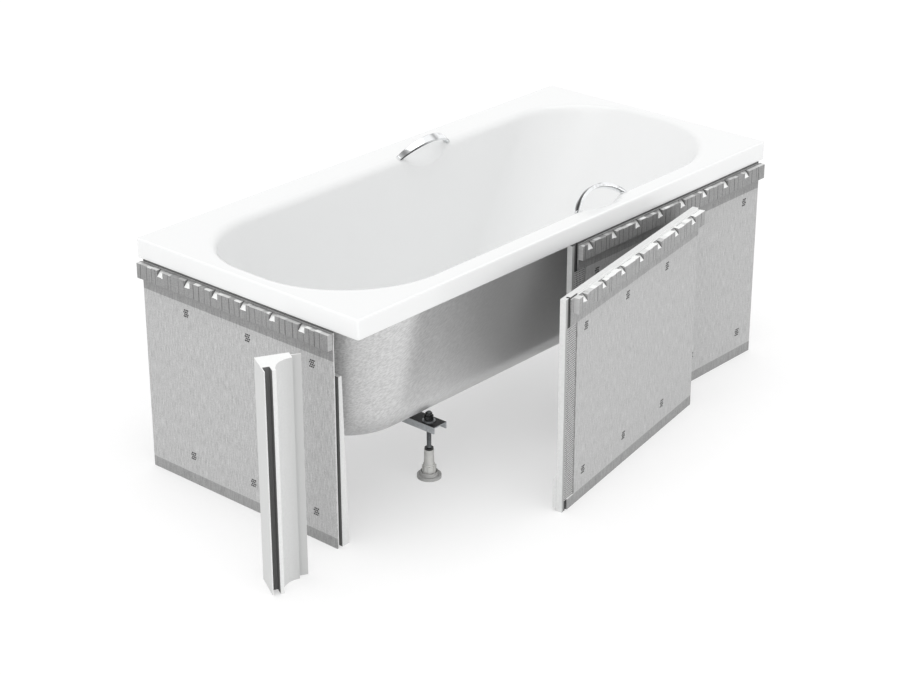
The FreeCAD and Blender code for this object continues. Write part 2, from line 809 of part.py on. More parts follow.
# Skirt panels, each modelled flat: X along the panel, Y inwards from the face, Z up
def panel_core(length, left):
    """The foam board behind the face, with a lip and groove at its left end where it has one."""
    foam = box(-left, length, skin, board, 0, core_top)
    if left:
        foam = foam.cut(box(-lip_groove, 0, skin, skin + lip_groove_depth, 0, core_top))
    return foam


def end_core():
    """The end panel's foam board, and the thin edge strip that carries the face past it at the right end."""
    start = end_panel_length - edge_rebate
    foam = box(0, start, skin, board, 0, core_top)
    edge = box(start, end_panel_length, skin, skin + edge_skin, 0, core_top)
    return [foam, edge]


def hole_clusters(length, first):
    """Clusters of pins that punch the small holes through the face."""
    spots = []
    for row in range(cluster_rows):
        for column in range(cluster_columns):
            across = hole_pitch * (column - (cluster_columns - 1) / 2 + (row % 2) / 2)
            spots.append((across, hole_pitch * (row - (cluster_rows - 1) / 2)))
    count = int((length - first) // cluster_pitch) + 1
    middles = [(first + cluster_pitch * i, z) for i in range(count) for z in (cluster_low, cluster_high)]
    pins = []
    for u, z in middles:
        for across, up in spots:
            start = Vector(u + across, -skin / 2, z + up)
            pins.append(Part.makeCylinder(hole_radius, 2 * skin, start, Vector(0, 1, 0)))
    return Part.makeCompound(pins)


def panel_face(start, length, first):
    """The coated face between the two bands, with its clusters of holes."""
    face = box(start, length, 0, skin, band_bottom, band_top)
    return face.cut(hole_clusters(length, first))


def panel_bands(length):
    """The dark bands along the foot and under the strip."""
    return [box(0, length, 0, skin, 0, band_bottom), box(0, length, 0, skin, band_top, panel_top)]


def panel_mesh():
    """The open mesh that bridges the groove beside the face."""
    return box(-lip_groove - mesh_lap, mesh_width, skin - mesh_thickness, skin, band_bottom, band_top)


def panel_strip(start, end, first):
    """The toothed strip under the rim with sloped notches in its upper edge."""
    bar = box(start, end, -strip_depth, 0, strip_bottom, panel_top)
    count = int((end - start - first) // notch_pitch) + 1
    for i in range(count):
        u = start + first + notch_pitch * i - notch_width / 2
        corners = [Vector(u, -strip_depth, panel_top - notch_height), Vector(u, -strip_depth, panel_top),
                   Vector(u, -strip_depth + notch_depth, panel_top)]
        bar = bar.cut(prism(corners, Vector(notch_width, 0, 0)))
    return bar


def scored(shape, u0, u1, v0, v1):
    """Score lines across a block near its foot, cut as shallow slots into its back."""
    for i in range(score_count):
        z = score_first + score_pitch * i
        shape = shape.cut(box(u0, u1, v0, v1, z, z + score_width))
    return shape


def end_rib():
    """The wedge rib behind the end panel's tongue edge, lapped behind the foam."""
    front = skin + edge_skin + edge_gap
    u1 = end_panel_length
    u0 = u1 - edge_rebate - rib_lap
    back = front + rib_bottom_depth
    corners = [Vector(u0, front, 0), Vector(u0, back, 0), Vector(u0, front + rib_top_depth, rib_top),
               Vector(u0, front, rib_top)]
    wedge = prism(corners, Vector(u1 - u0, 0, 0))
    wedge = wedge.cut(box(u0, u1 - edge_rebate, front, board, 0, rib_top))
    return scored(wedge, u0, u1, back - score_depth, back)


def panel_shims(length, left):
    """Short blocks behind a front panel's foot, at both ends and in the middle."""
    blocks = []
    back = board + shim_depth
    for u in (-left, (length - left - shim_length) / 2, length - shim_length):
        corners = [Vector(u, board, shim_bottom), Vector(u, back, shim_bottom),
                   Vector(u, back, shim_top - shim_slope), Vector(u, board, shim_top)]
        block = prism(corners, Vector(shim_length, 0, 0))
        blocks.append(scored(block, u, u + shim_length, back - score_depth, back))
    return blocks


def corner_post():
    """The corner post in its corner: outer corner at the origin, grooved leg along X, tongued leg along Y."""
    cove = post_leg - post_thickness
    half = cove * math.sqrt(0.5)
    points = [Vector(0, 0, 0), Vector(post_leg, 0, 0), Vector(post_leg, post_thickness, 0),
              Vector(post_thickness, post_leg, 0), Vector(0, post_leg, 0)]
    arc = Part.Arc(points[2], Vector(post_leg - half, post_leg - half, 0), points[3]).toShape()
    edges = [Part.makeLine(points[0], points[1]), Part.makeLine(points[1], points[2]), arc,
             Part.makeLine(points[3], points[4]), Part.makeLine(points[4], points[0])]
    post = Part.Face(Part.Wire(edges)).extrude(Vector(0, 0, core_top))
    groove_end = post_leg - post_groove_depth
    post = post.cut(box(groove_end, post_leg, post_lip, post_lip + post_groove, 0, core_top))
    tongue_end = skin + edge_skin + edge_gap - tongue_clearance
    tip = post_leg + tongue_length
    corners = [Vector(tongue_end - tongue_thickness, post_leg, 0), Vector(tongue_end - tongue_tip, tip, 0),
               Vector(tongue_end, tip, 0), Vector(tongue_end, post_leg, 0)]
    tongue = prism(corners, Vector(0, 0, core_top))
    return post.fuse(tongue).removeSplitter()


def end_place():
    """The end panel stands across the foot end, its face towards -X."""
    return Placement(Vector(corner_x, end_panel_y, 0), Rotation(Vector(0, 0, 1), -90))


def right_place():
    """The right front panel stands along the front, its face towards -Y."""
    return Placement(Vector(right_panel_x, corner_y, 0), Rotation())


def left_place():
    """The left front panel stands where it was put down, turned a little."""
    return Placement(Vector(left_panel_x, left_panel_y, 0), Rotation(Vector(0, 0, 1), left_panel_turn))


def post_place():
    """The corner post stands where it was put down, turned away from its corner."""
    return Placement(Vector(post_x, post_y, 0), Rotation(Vector(0, 0, 1), post_turn))


def front_pieces(length, strip_start):
    """The pieces of a front panel, modelled flat."""
    return {"core": [panel_core(length, lip)],
            "face": [panel_face(mesh_width, length, front_first_cluster)],
            "bands": panel_bands(length),
            "mesh": [panel_mesh()],
            "strip": [panel_strip(strip_start, length + strip_overhang, front_first_notch)],
            "shims": panel_shims(length, lip)}


def skirt_pieces():
    """Every piece of the skirt at its place."""
    pieces = {}
    end = {"core": end_core(),
           "face": [panel_face(0, end_panel_length, end_first_cluster)],
           "bands": panel_bands(end_panel_length),
           "strip": [panel_strip(-strip_overhang, end_panel_length, end_first_notch + strip_overhang)],
           "rib": [end_rib()]}
    right = front_pieces(right_panel_length, 0)
    left = front_pieces(left_panel_length, left_strip_start)
    for panel, parts, place in (("end_panel", end, end_place()), ("right_panel", right, right_place()),
                                ("left_panel", left, left_place())):
        for name, solids in parts.items():
            pieces[panel + "_" + name] = [placed(solid, place) for solid in solids]
    pieces["corner_post"] = [placed(corner_post(), post_place())]
    return pieces


def tub_pieces():
    """Every piece of the tub, its legs and its waste set."""
    pieces = {"tub_shell": [tub_shell()], "grip_front": [grip(-1)], "grip_back": [grip(1)],
              "grip_gaskets": grip_gaskets(), "grip_nuts": grip_nuts(), "rail_foot_end": [rail(rail_foot_x)],
              "rail_head_end": [rail(rail_head_x)], "rail_saddles": rail_saddles(),
              "rail_screws": rail_screws(), "rod_nuts": rod_nuts(), "rod_washers": rod_washers(),
              "rod_caps": rod_caps(), "rod_top_nuts": rod_top_nuts(), "drain_flange": [drain_flange()],
              "drain_plug": [drain_plug()],
              "drain_gasket": [drain_gasket()], "drain_body": [drain_body()], "trap_body": [trap_body()],
              "overflow_ring": [overflow_ring()], "overflow_knob": [overflow_knob()],
              "overflow_gasket": [overflow_gasket()], "overflow_body": [overflow_body()],
              "overflow_pipe": [overflow_pipe()], "plug_cable": [plug_cable()], "earth_tab": [earth_tab()]}
    for i, (x, y) in enumerate(leg_places(), 1):
        pieces["leg_rod_%d" % i] = [leg_rod(x, y)]
        pieces["foot_base_%d" % i] = [foot_base(x, y)]
        pieces["foot_sleeve_%d" % i] = [foot_sleeve(x, y)]
        pieces["foot_collar_%d" % i] = [foot_collar(x, y)]
    return pieces


def main():
    """Write one file for each node."""
    os.makedirs("parts", exist_ok=True)
    nodes = tub_pieces()
    nodes.update(skirt_pieces())
    for name, solids in nodes.items():
        shape = solids[0] if len(solids) == 1 else Part.makeCompound(solids)
        bodies = shape.Solids
        print("%-20s solids %d valid %s volume %.0f" % (name, len(bodies), shape.isValid(), shape.Volume))
        if len(bodies) == 1:
            shape = bodies[0]
        shape.exportStep("parts/%s.step" % name)
    print("nodes", len(nodes))


main()
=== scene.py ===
import math
from functools import cache

import bmesh
import bpy
import numpy as np
from mathutils import Matrix, Vector


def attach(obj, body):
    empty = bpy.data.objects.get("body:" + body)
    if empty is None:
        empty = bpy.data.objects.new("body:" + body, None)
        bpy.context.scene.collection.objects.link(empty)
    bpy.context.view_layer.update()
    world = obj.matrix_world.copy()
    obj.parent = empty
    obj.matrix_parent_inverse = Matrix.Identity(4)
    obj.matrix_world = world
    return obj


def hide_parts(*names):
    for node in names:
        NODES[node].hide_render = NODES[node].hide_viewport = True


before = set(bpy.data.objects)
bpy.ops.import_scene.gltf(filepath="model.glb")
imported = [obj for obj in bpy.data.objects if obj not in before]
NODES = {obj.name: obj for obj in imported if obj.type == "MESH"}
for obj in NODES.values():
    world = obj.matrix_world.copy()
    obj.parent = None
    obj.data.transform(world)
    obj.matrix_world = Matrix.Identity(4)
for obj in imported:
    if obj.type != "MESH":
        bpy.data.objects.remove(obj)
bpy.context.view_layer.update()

bl_info = {
    "name": "Skirted bathtub",
    "version": (1, 0, 0),
    "blender": (4, 5, 0),
    "location": "View3D > Sidebar > Bathtub",
    "description": "Dresses an enamelled steel bathtub, its legs, grips, waste set and foam skirt",
    "category": "Object",
}

MM = 0.001

# Sizes in millimetres and angles in degrees; what the solids also have is as it is there, except for
# GRIP_THICK and STRIP_DEPTH. GRIP_END is the share of a bow's section that is left at its ends
TUB_LENGTH, TUB_WIDTH = 1600.0, 750.0
RIM_HEIGHT, RIM_UNDER = 616.0, 565.0
STEEL = 3.0
APRON_CORNER, APRON_TOP = 6.0, 4.0
FOOT_EDGE, HEAD_EDGE, FRONT_EDGE, BACK_EDGE = -778.0, 778.0, -335.0, 300.0
FOOT_REACH, HEAD_REACH, FRONT_REACH, BACK_REACH = 158.0, 488.0, 170.0, 175.0
FRONT_CORNER, BACK_CORNER, FLOOR_CORNER = 300.0, 250.0, 80.0
BASIN_DEPTH, RIM_ROLL, FLOOR_BOWL = 433.0, 25.0, 90.0
MIDDLE_Y = (FRONT_EDGE + BACK_EDGE) / 2
FLOOR_TOP = RIM_HEIGHT - BASIN_DEPTH
DRAIN_X, DRAIN_HOLE = -558.0, 26.0
GRIP_X, GRIP_CHORD, GRIP_RISE, GRIP_LEAN = 145.0, 206.0, 40.0, 27.0
GRIP_WIDTH, GRIP_THICK, GRIP_ANGLE, GRIP_END = 22.0, 11.0, 30.0, 0.68
POST_INSET, STUD_LENGTH = 10.0, 20.0
HOLLOW_RADIUS, HOLLOW_DEPTH, HOLLOW_ANGLE = 160.0, 22.0, 45.0
OVERFLOW_SPOT = (-743.537, MIDDLE_Y, 521.0)
OVERFLOW_LEAN, OVERFLOW_HOLE = 7.524, 20.0
LEG_SPOTS = ((-388.0, -212.0), (-388.0, 177.0), (240.0, -212.0), (240.0, 177.0))
ROD_BOTTOM, ROD_TOP, ROD_RADIUS, THREAD_PITCH, THREAD_DEPTH = 25.0, 183.0, 6.0, 1.75, 0.95
PANEL_TOP, STRIP_BOTTOM, STRIP_DEPTH = 560.0, 520.0, 15.2
NOTCH_PITCH, NOTCH_WIDTH, NOTCH_HEIGHT, NOTCH_DEPTH = 97.0, 20.0, 15.0, 14.0
BAND_BOTTOM, BAND_TOP, SKIN, BOARD = 28.0, 490.0, 3.0, 19.0
CLUSTER_LOW, CLUSTER_HIGH, CLUSTER_PITCH, HOLE_PITCH = 77.0, 465.0, 215.0, 5.5
CLUSTER_ROWS, CLUSTER_COLUMNS = 4, 3
MESH_LEFT, MESH_RIGHT, MESH_INSET = -12.5, 33.0, 1.0
STRAND_WAVE, STRAND_HALF_WIDTH, STRAND_HALF_THICK = 0.24, 1.1, 0.22
SCORE_HALF_WIDTH, SCORE_SHADOW, SCORE_DEPTHS = 0.9, 1.4, (0.6, 1.7)
TOOTH_SINKS, TOOTH_SHIFT, TOOTH_EDGE, TOOTH_NICK = (0.0, 0.0, 0.3, 0.9, 1.6), 0.6, 0.8, 0.15

# Steps of the shell's grid along its sides, across its ends and round its corners, shares of the way across
# the floor and the rim, heights of the rows outside and inside the apron, and steps of a bow and its section
LONG_STEPS, SHORT_STEPS, ARC_STEPS = 110, 22, 26
FLOOR_SHARES, RIM_SHARES = [0.2, 0.4, 0.6, 0.8], [0.04, 0.09, 0.15, 0.23, 0.34, 0.5, 0.7, 0.9]
APRON_ROWS, APRON_INNER_ROWS = [600.0, 585.0, 572.0], [580.0, 595.0, 608.0]
BOW_STEPS, SECTION_STEPS = 72, 40

# Doubles and slivers of a mesh, in metres, and how far up a face has to look to count as a top
SEAM, SLIVER, UPWARD = 2e-6, 1e-7, 0.8

# Each panel: corner of its face, turn, length, first cluster of holes, strip start and end, first notch, how
# bare the broken top of its strip is, how much painted light and shade lighten or darken its upper band
# and strip, and how strong its face's grain is
PANELS = {
    "end": dict(x=-803.0, y=354.0, turn=-90.0, length=649.0, cluster=150.0, start=-4.0, stop=649.0,
                notch=80.0, bare=0.55, light=0.92, grain=1.3),
    "right": dict(x=-13.0, y=-378.0, turn=0.0, length=787.0, cluster=76.0, start=0.0, stop=791.0,
                  notch=29.0, bare=0.45, light=0.95, grain=1.1),
    "left": dict(x=-292.0, y=-580.0, turn=10.05, length=684.0, cluster=76.0, start=12.0, stop=688.0,
                 notch=41.0, bare=1.0, light=1.12, grain=1.1),
}

# Panels that stand under the rim; what rises above their strips gets painted shade, nearly black
SEATED = ("end", "right")

# Painted shade on the foam, in grooves, under the edge mesh and beside a lip: from and to along, from and to
# inwards, and how light the painted shade is beside the foam
LIP_PAINTED_SHADE = ((-6.8, 0.3, 3.3, 12.3, 0.10), (-21.0, -6.4, 2.8, 3.2, 0.55),
            (MESH_LEFT, MESH_RIGHT, 2.8, 3.2, 0.12))
PAINTED_SHADE_PLACES = {
    "post": dict(x=-1015.0, y=-262.0, turn=-118.5, boxes=((56.6, 79.5, 2.3, 19.7, 0.28),)),
    "left": dict(PANELS["left"], boxes=LIP_PAINTED_SHADE),
    "right": dict(PANELS["right"], boxes=LIP_PAINTED_SHADE),
    "end": dict(PANELS["end"], boxes=((618.6, 652.0, 5.7, 16.8, 0.22),)),
}


# Settings
def colour(name, description, default):
    """A colour that the user can set."""
    return bpy.props.FloatVectorProperty(name=name, description=description, default=default,
                                         subtype="COLOR", size=3, min=0.0, max=1.0)


def number(name, description, default, low, high, unit="NONE"):
    """A number that the user can set between two limits; a length is in metres."""
    return bpy.props.FloatProperty(name=name, description=description, default=default,
                                   min=low, max=high, unit=unit)


class TubSettings(bpy.types.PropertyGroup):
    """Colours and finish of the enamelled tub."""
    enamel: colour("Enamel", "White gloss enamel inside and on the rim", (0.895, 0.9, 0.9))
    coat_light: colour("Ground coat, light", "Light flecks of the grey coat outside", (0.86, 0.86, 0.86))
    coat_dark: colour("Ground coat, dark", "Dark streaks of the grey coat outside", (0.63, 0.63, 0.63))
    hollow_soft: number("Hollow softness", "Rounding where the grip hollows meet the wall",
                        0.001, 0.0005, 0.01, "LENGTH")


class SkirtSettings(bpy.types.PropertyGroup):
    """Colours and pattern sizes of the foam skirt."""
    face: colour("Face coat", "Cement coat of the panel faces", (0.51, 0.51, 0.51))
    band: colour("Band coat", "Darker coat along the foot and under the strip", (0.34, 0.34, 0.34))
    strip: colour("Strip", "Grey outside of the toothed strip", (0.34, 0.34, 0.34))
    foam: colour("Foam", "Cut hard foam", (0.76, 0.765, 0.76))
    strands: colour("Edge mesh", "Glass fibre strands of the edge mesh", (0.62, 0.62, 0.62))
    streak_width: number("Streak width", "Width of the upright streaks in the coat",
                         0.0023, 0.001, 0.05, "LENGTH")
    thread_pitch: number("Thread pitch", "Spacing of the woven threads under the coat",
                         0.0022, 0.0005, 0.01, "LENGTH")
    score_pitch: number("Score pitch", "Usual spacing of the score lines in the strips",
                        0.0194, 0.005, 0.1, "LENGTH")
    strand_pitch: number("Strand pitch", "Spacing of the strands in the edge mesh",
                         0.0058, 0.002, 0.02, "LENGTH")


class MetalSettings(bpy.types.PropertyGroup):
    """Colours of the bright and plain metal and of the moulded pieces."""
    chrome: colour("Chrome", "Polished grips, drain and overflow", (0.78, 0.79, 0.80))
    zinc: colour("Zinc", "Galvanised rails, rods and nuts", (0.56, 0.58, 0.60))
    grey: colour("Grey plastic", "Feet and saddles", (0.50, 0.50, 0.49))
    pale: colour("Pale plastic", "Ribbed sleeves of the feet", (0.68, 0.68, 0.66))
    black: colour("Black plastic", "Collars, caps and the tape on the rails", (0.012, 0.012, 0.013))
    waste: colour("Waste plastic", "Pipes and trap", (0.72, 0.72, 0.70))


class StageSettings(bpy.types.PropertyGroup):
    """Light and floor."""
    sky: number("Sky", "Strength of the even white light", 0.835, 0.0, 3.0)
    top: number("Overhead", "Strength of the soft sun overhead", 0.75, 0.0, 10.0)
    front: number("Front lamp", "Power of the low wide lamp before the tub", 50.0, 0.0, 500.0, "POWER")
    side: number("Side lamp", "Power of the low wide lamp beyond the foot end", 48.0, 0.0, 500.0, "POWER")
    lift: number("Floor lift", "How much whiter the floor looks to the camera", 0.45, 0.0, 1.0)


SETTINGS = {"bath_tub": TubSettings, "bath_skirt": SkirtSettings, "bath_metal": MetalSettings,
            "bath_stage": StageSettings}


# Meshes
def quads(rows, cols, ring=False):
    """Corner numbers of a grid's faces: every row is closed, and in a ring the last row meets the first."""
    row = np.arange(rows if ring else rows - 1)[:, None]
    col = np.arange(cols)[None, :]
    next_row, next_col = (row + 1) % rows, (col + 1) % cols
    corners = [row * cols + col, row * cols + next_col, next_row * cols + next_col, next_row * cols + col]
    return np.stack(np.broadcast_arrays(*corners), -1).reshape(-1, 4)


def patch(points, tone=0.0, ring=False):
    """A grid of points with its faces and one tone value for each point."""
    rows, cols = points.shape[:2]
    return points.reshape(-1, 3), quads(rows, cols, ring), np.broadcast_to(tone, (rows, cols)).reshape(-1)


def copies(points, spots):
    """The same small grid at many spots."""
    rows, cols = points.shape[:2]
    verts = (points.reshape(1, -1, 3) + spots[:, None, :]).reshape(-1, 3)
    faces = quads(rows, cols)[None] + (np.arange(len(spots)) * rows * cols)[:, None, None]
    return verts, faces.reshape(-1, 4), np.zeros(len(verts))


def capped(points):
    """The grid with its first and last row drawn together to their middles."""
    first, last = (np.broadcast_to(row.mean(1, keepdims=True), row.shape)
                   for row in (points[:1], points[-1:]))
    return np.concatenate([first, points, last])


def capped_tone(tone):
    """The tones of a capped grid: each end takes the tone of its row."""
    return np.pad(tone, ((1, 1), (0, 0)), "edge")


def at_heights(x, y, heights):
    """Rows of points from rows of x and y, each row at its own height."""
    return np.stack([x, y, np.broadcast_to(np.asarray(heights, float)[:, None], x.shape)], -1)


def lathe(profile, turns=64):
    """A profile of (radius, height) carried round the upright axis."""
    angle = np.linspace(0, 2 * np.pi, turns, endpoint=False)
    radius, height = np.array(profile, float).T
    return at_heights(radius[:, None] * np.cos(angle), radius[:, None] * np.sin(angle), height)


def rounded_profile(points, radius, steps=4):
    """A polyline of (radius, height) with its inner corners cut by small quadratic curves."""
    points = np.array(points, float)
    out = [points[:1]]
    t = np.linspace(0, 1, steps + 1)[:, None]
    for before, here, after in zip(points, points[1:], points[2:]):
        a, b = before - here, after - here
        reach = min(radius, np.linalg.norm(a) / 2, np.linalg.norm(b) / 2)
        start, end = here + a / np.linalg.norm(a) * reach, here + b / np.linalg.norm(b) * reach
        out.append((1 - t) ** 2 * start + 2 * t * (1 - t) * here + t ** 2 * end)
    out.append(points[-1:])
    return np.concatenate(out)


def signed_power(value, power):
    """The value's size to a power, with the value's sign."""
    return np.sign(value) * np.abs(value) ** power


def superbar(size, power=0.4, rows=20, cols=32):
    """A bar with rounded edges: each coordinate is a signed power of the round ball's coordinate."""
    v = np.linspace(-np.pi / 2, np.pi / 2, rows)[:, None]
    u = np.linspace(-np.pi, np.pi, cols, endpoint=False)[None, :]
    ring, z = signed_power(np.cos(v), power), signed_power(np.sin(v), power)
    x, y = ring * signed_power(np.cos(u), power), ring * signed_power(np.sin(u), power)
    return np.stack(np.broadcast_arrays(x, y, z), -1) * np.array(size) / 2


def moved(points, matrix):
    """Points carried by a 4 by 4 placement."""
    matrix = np.array(matrix)
    return points @ matrix[:3, :3].T + matrix[:3, 3]


def panel_place(name):
    """Placement of a panel's own frame: X along the panel, Y inwards, Z up."""
    panel = PANELS[name]
    turn = Matrix.Rotation(math.radians(panel["turn"]), 4, "Z")
    return Matrix.Translation((panel["x"], panel["y"], 0)) @ turn


def overflow_place():
    """Placement on the foot end wall, Z pointing into the basin."""
    return Matrix.Translation(OVERFLOW_SPOT) @ Matrix.Rotation(math.radians(90 - OVERFLOW_LEAN), 4, "Y")


def roll_place(side, degrees):
    """Placement on the rim's roll: X along the rim, Z square to the roll."""
    angle = math.radians(degrees)
    edge = FRONT_EDGE if side < 0 else BACK_EDGE
    spot = (GRIP_X, edge - side * RIM_ROLL * math.sin(angle), RIM_HEIGHT - RIM_ROLL * (1 - math.cos(angle)))
    return Matrix.Translation(spot) @ Matrix.Rotation(side * angle, 4, "X")


def close_seams(mesh):
    """Merges doubles, dissolves slivers and turns the faces outwards."""
    cage = bmesh.new()
    cage.from_mesh(mesh)
    bmesh.ops.remove_doubles(cage, verts=cage.verts, dist=SEAM)
    bmesh.ops.dissolve_degenerate(cage, edges=cage.edges, dist=SLIVER)
    bmesh.ops.recalc_face_normals(cage, faces=cage.faces)
    cage.to_mesh(mesh)
    cage.free()


def piece(name, patches, material, body, replaced=(), sharp=50.0):
    """One closed mesh from grids in millimetres, with their tones, smooth up to the sharp angle."""
    verts = np.concatenate([p[0] for p in patches]) * MM
    starts = np.cumsum([0] + [len(p[0]) for p in patches[:-1]])
    faces = np.concatenate([p[1] + start for p, start in zip(patches, starts)])
    mesh = bpy.data.meshes.new(name)
    mesh.from_pydata(verts.tolist(), [], faces.tolist())
    tone = mesh.attributes.new("tone", "FLOAT", "POINT")
    tone.data.foreach_set("value", np.concatenate([p[2] for p in patches]).astype(np.float32))
    close_seams(mesh)
    mesh.polygons.foreach_set("use_smooth", np.ones(len(mesh.polygons), bool))
    mesh.set_sharp_from_angle(angle=math.radians(sharp))
    mesh.materials.append(material)
    obj = bpy.data.objects.new(name, mesh)
    bpy.context.scene.collection.objects.link(obj)
    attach(obj, body)
    if replaced:
        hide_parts(*replaced)
    return obj


def dress(material, *names):
    """Gives the named solids a finish."""
    for name in names:
        mesh = NODES[name].data
        mesh.materials.clear()
        mesh.materials.append(material)


# Shader groups
def spaced(values):
    """Socket names from keyword names: an underscore stands for a blank."""
    return {label.replace("_", " "): value for label, value in values.items()}


def shade(color, factor):
    """The colour made lighter or darker, with full alpha."""
    return tuple(min(1.0, c * factor) for c in color[:3]) + (1.0,)


class Graph:
    """Short calls for building a node tree."""

    def __init__(self, tree):
        self.tree = tree

    def node(self, kind, **settings):
        """A new node with its settings."""
        node = self.tree.nodes.new(kind)
        for key, value in settings.items():
            setattr(node, key, value)
        return node

    def fill(self, node, values):
        """Links or sets a node's inputs, by name or number, and returns its outputs; None is passed over."""
        for label, value in values.items():
            if isinstance(value, bpy.types.NodeSocket):
                self.tree.links.new(value, node.inputs[label])
            elif value is not None:
                node.inputs[label].default_value = value
        return node.outputs

    def use(self, tree, **values):
        """Places a shared group with its own values and returns its outputs."""
        return self.fill(self.node("ShaderNodeGroup", node_tree=tree), spaced(values))

    def math(self, operation, a, b=None, clamp=False):
        return self.fill(self.node("ShaderNodeMath", operation=operation, use_clamp=clamp), {0: a, 1: b})[0]

    def times(self, a, b):
        return self.math("MULTIPLY", a, b)

    def minus(self, a, b, clamp=False):
        return self.math("SUBTRACT", a, b, clamp)

    def mix(self, factor, a, b):
        """Goes from colour a to colour b."""
        return self.fill(self.node("ShaderNodeMix", data_type="RGBA"), {0: factor, 6: a, 7: b})[2]

    def fade(self, factor, a, b):
        """Goes from value a to value b."""
        return self.fill(self.node("ShaderNodeMix", data_type="FLOAT"), {0: factor, 2: a, 3: b})[0]

    def shades(self, factor, color, low, high):
        """Goes from one shade of a colour to another."""
        return self.mix(factor, shade(color, low), shade(color, high))

    def range(self, value, low, high, to_low=0.0, to_high=1.0):
        """Carries one range of values over to another."""
        numbers = (value, low, high, to_low, to_high)
        return self.fill(self.node("ShaderNodeMapRange"), dict(enumerate(numbers)))[0]

    def noise(self, vector, scale, detail, roughness):
        values = {"Vector": vector, "Scale": scale, "Detail": detail, "Roughness": roughness}
        return self.fill(self.node("ShaderNodeTexNoise"), values)[0]

    def cells(self, vector, scale):
        return self.fill(self.node("ShaderNodeTexVoronoi"), {"Vector": vector, "Scale": scale})

    def mapped(self, vector, **values):
        return self.fill(self.node("ShaderNodeMapping"), dict(values, Vector=vector))[0]

    def flat(self, x, y):
        return self.fill(self.node("ShaderNodeCombineXYZ"), {0: x, 1: y})[0]

    def split(self, vector):
        return self.fill(self.node("ShaderNodeSeparateXYZ"), {0: vector})

    def bump(self, height, strength, distance):
        values = {"Height": height, "Strength": strength, "Distance": distance}
        return self.fill(self.node("ShaderNodeBump"), values)[0]

    def place(self):
        return self.node("ShaderNodeTexCoord").outputs["Object"]

    def tone(self):
        return self.node("ShaderNodeAttribute", attribute_name="tone").outputs["Fac"]

    def upward(self):
        """1 on faces that look up, else 0."""
        normal = self.node("ShaderNodeTexCoord").outputs["Normal"]
        return self.math("GREATER_THAN", self.split(normal)["Z"], UPWARD)

    def reach(self, degrees):
        """Distance along a level line that is turned from X: the place's dot product with its direction."""
        turn = math.radians(degrees)
        dot = self.node("ShaderNodeVectorMath", operation="DOT_PRODUCT")
        return self.fill(dot, {0: self.place(), 1: (math.cos(turn), math.sin(turn), 0.0)})["Value"]

    def step(self, value, edge, soft=0.1):
        """Goes from 0 to 1 across an edge, in millimetres."""
        return self.range(value, (edge - soft) * MM, (edge + soft) * MM)


def group(name, inputs, outputs):
    """A new shader node group: inputs with their usual values, None for a vector, and value outputs."""
    tree = bpy.data.node_groups.new(name, "ShaderNodeTree")
    for label, usual in inputs.items():
        kind = "NodeSocketVector" if usual is None else "NodeSocketFloat"
        socket = tree.interface.new_socket(label, in_out="INPUT", socket_type=kind)
        if usual is not None:
            socket.default_value = usual
    for label in outputs:
        tree.interface.new_socket(label, in_out="OUTPUT", socket_type="NodeSocketFloat")
    graph = Graph(tree)
    return graph, graph.node("NodeGroupInput").outputs, graph.node("NodeGroupOutput")


@cache
def woven_coat_group():
    """Coat over a woven ground: long upright streaks, crossing threads and fine grit."""
    graph, given, out = group("Woven coat", {"Along": 0.0, "Up": 0.0, "Streak Width": 0.006,
                                             "Thread Pitch": 0.0022}, ("Streaks", "Threads", "Grit"))
    along, up, width = given["Along"], given["Up"], given["Streak Width"]
    across = graph.math("DIVIDE", along, width)
    drawn_out = graph.math("DIVIDE", up, graph.times(width, 13.0))
    streaks = graph.noise(graph.flat(across, drawn_out), 1.0, 4.0, 0.7)
    turn = graph.math("DIVIDE", 2 * math.pi, given["Thread Pitch"])
    warp, weft = (graph.math("ABSOLUTE", graph.math("SINE", graph.times(way, turn))) for way in (along, up))
    grit = graph.noise(graph.flat(along, up), 260.0, 3.0, 0.7)
    graph.fill(out, {"Streaks": graph.range(streaks, 0.3, 0.7), "Threads": graph.math("MAXIMUM", warp, weft),
                     "Grit": graph.range(grit, 0.35, 0.65)})
    return graph.tree


@cache
def speckle_group():
    """Fine flecks over soft clouds."""
    graph, given, out = group("Speckle", {"Vector": None, "Fleck Size": 0.003}, ("Flecks", "Clouds"))
    scale = graph.math("DIVIDE", 1.0, given["Fleck Size"])
    flecks = graph.noise(given["Vector"], scale, 2.0, 0.6)
    clouds = graph.noise(given["Vector"], graph.times(scale, 0.06), 3.0, 0.55)
    graph.fill(out, {"Flecks": graph.range(flecks, 0.35, 0.65), "Clouds": graph.range(clouds, 0.3, 0.7)})
    return graph.tree


@cache
def foam_cells_group():
    """Cells of cut hard foam: a height with pits and a grain of light and dark."""
    graph, given, out = group("Foam cells", {"Vector": None, "Cell Size": 0.0014}, ("Height", "Grain"))
    cells = graph.cells(given["Vector"], graph.math("DIVIDE", 1.0, given["Cell Size"]))
    grain = graph.noise(given["Vector"], 160.0, 4.0, 0.65)
    graph.fill(out, {"Height": graph.range(cells["Distance"], 0.0, 0.7),
                     "Grain": graph.range(grain, 0.35, 0.65)})
    return graph.tree


def speckle(graph, size, vector=None):
    """Flecks of a size in metres and their clouds, on the piece's own place or on a given vector."""
    return graph.use(speckle_group(), Vector=graph.place() if vector is None else vector, Fleck_Size=size)


def woven(graph, name, width, pitch):
    """The woven coat's masks, upright on the named panel."""
    up = graph.split(graph.place())["Z"]
    return graph.use(woven_coat_group(), Along=graph.reach(PANELS[name]["turn"]), Up=up, Streak_Width=width,
                     Thread_Pitch=pitch)


# Finishes
def finish(name):
    """A new material and its empty graph."""
    material = bpy.data.materials.new(name)
    material.use_nodes = True
    material.node_tree.nodes.clear()
    return material, Graph(material.node_tree)


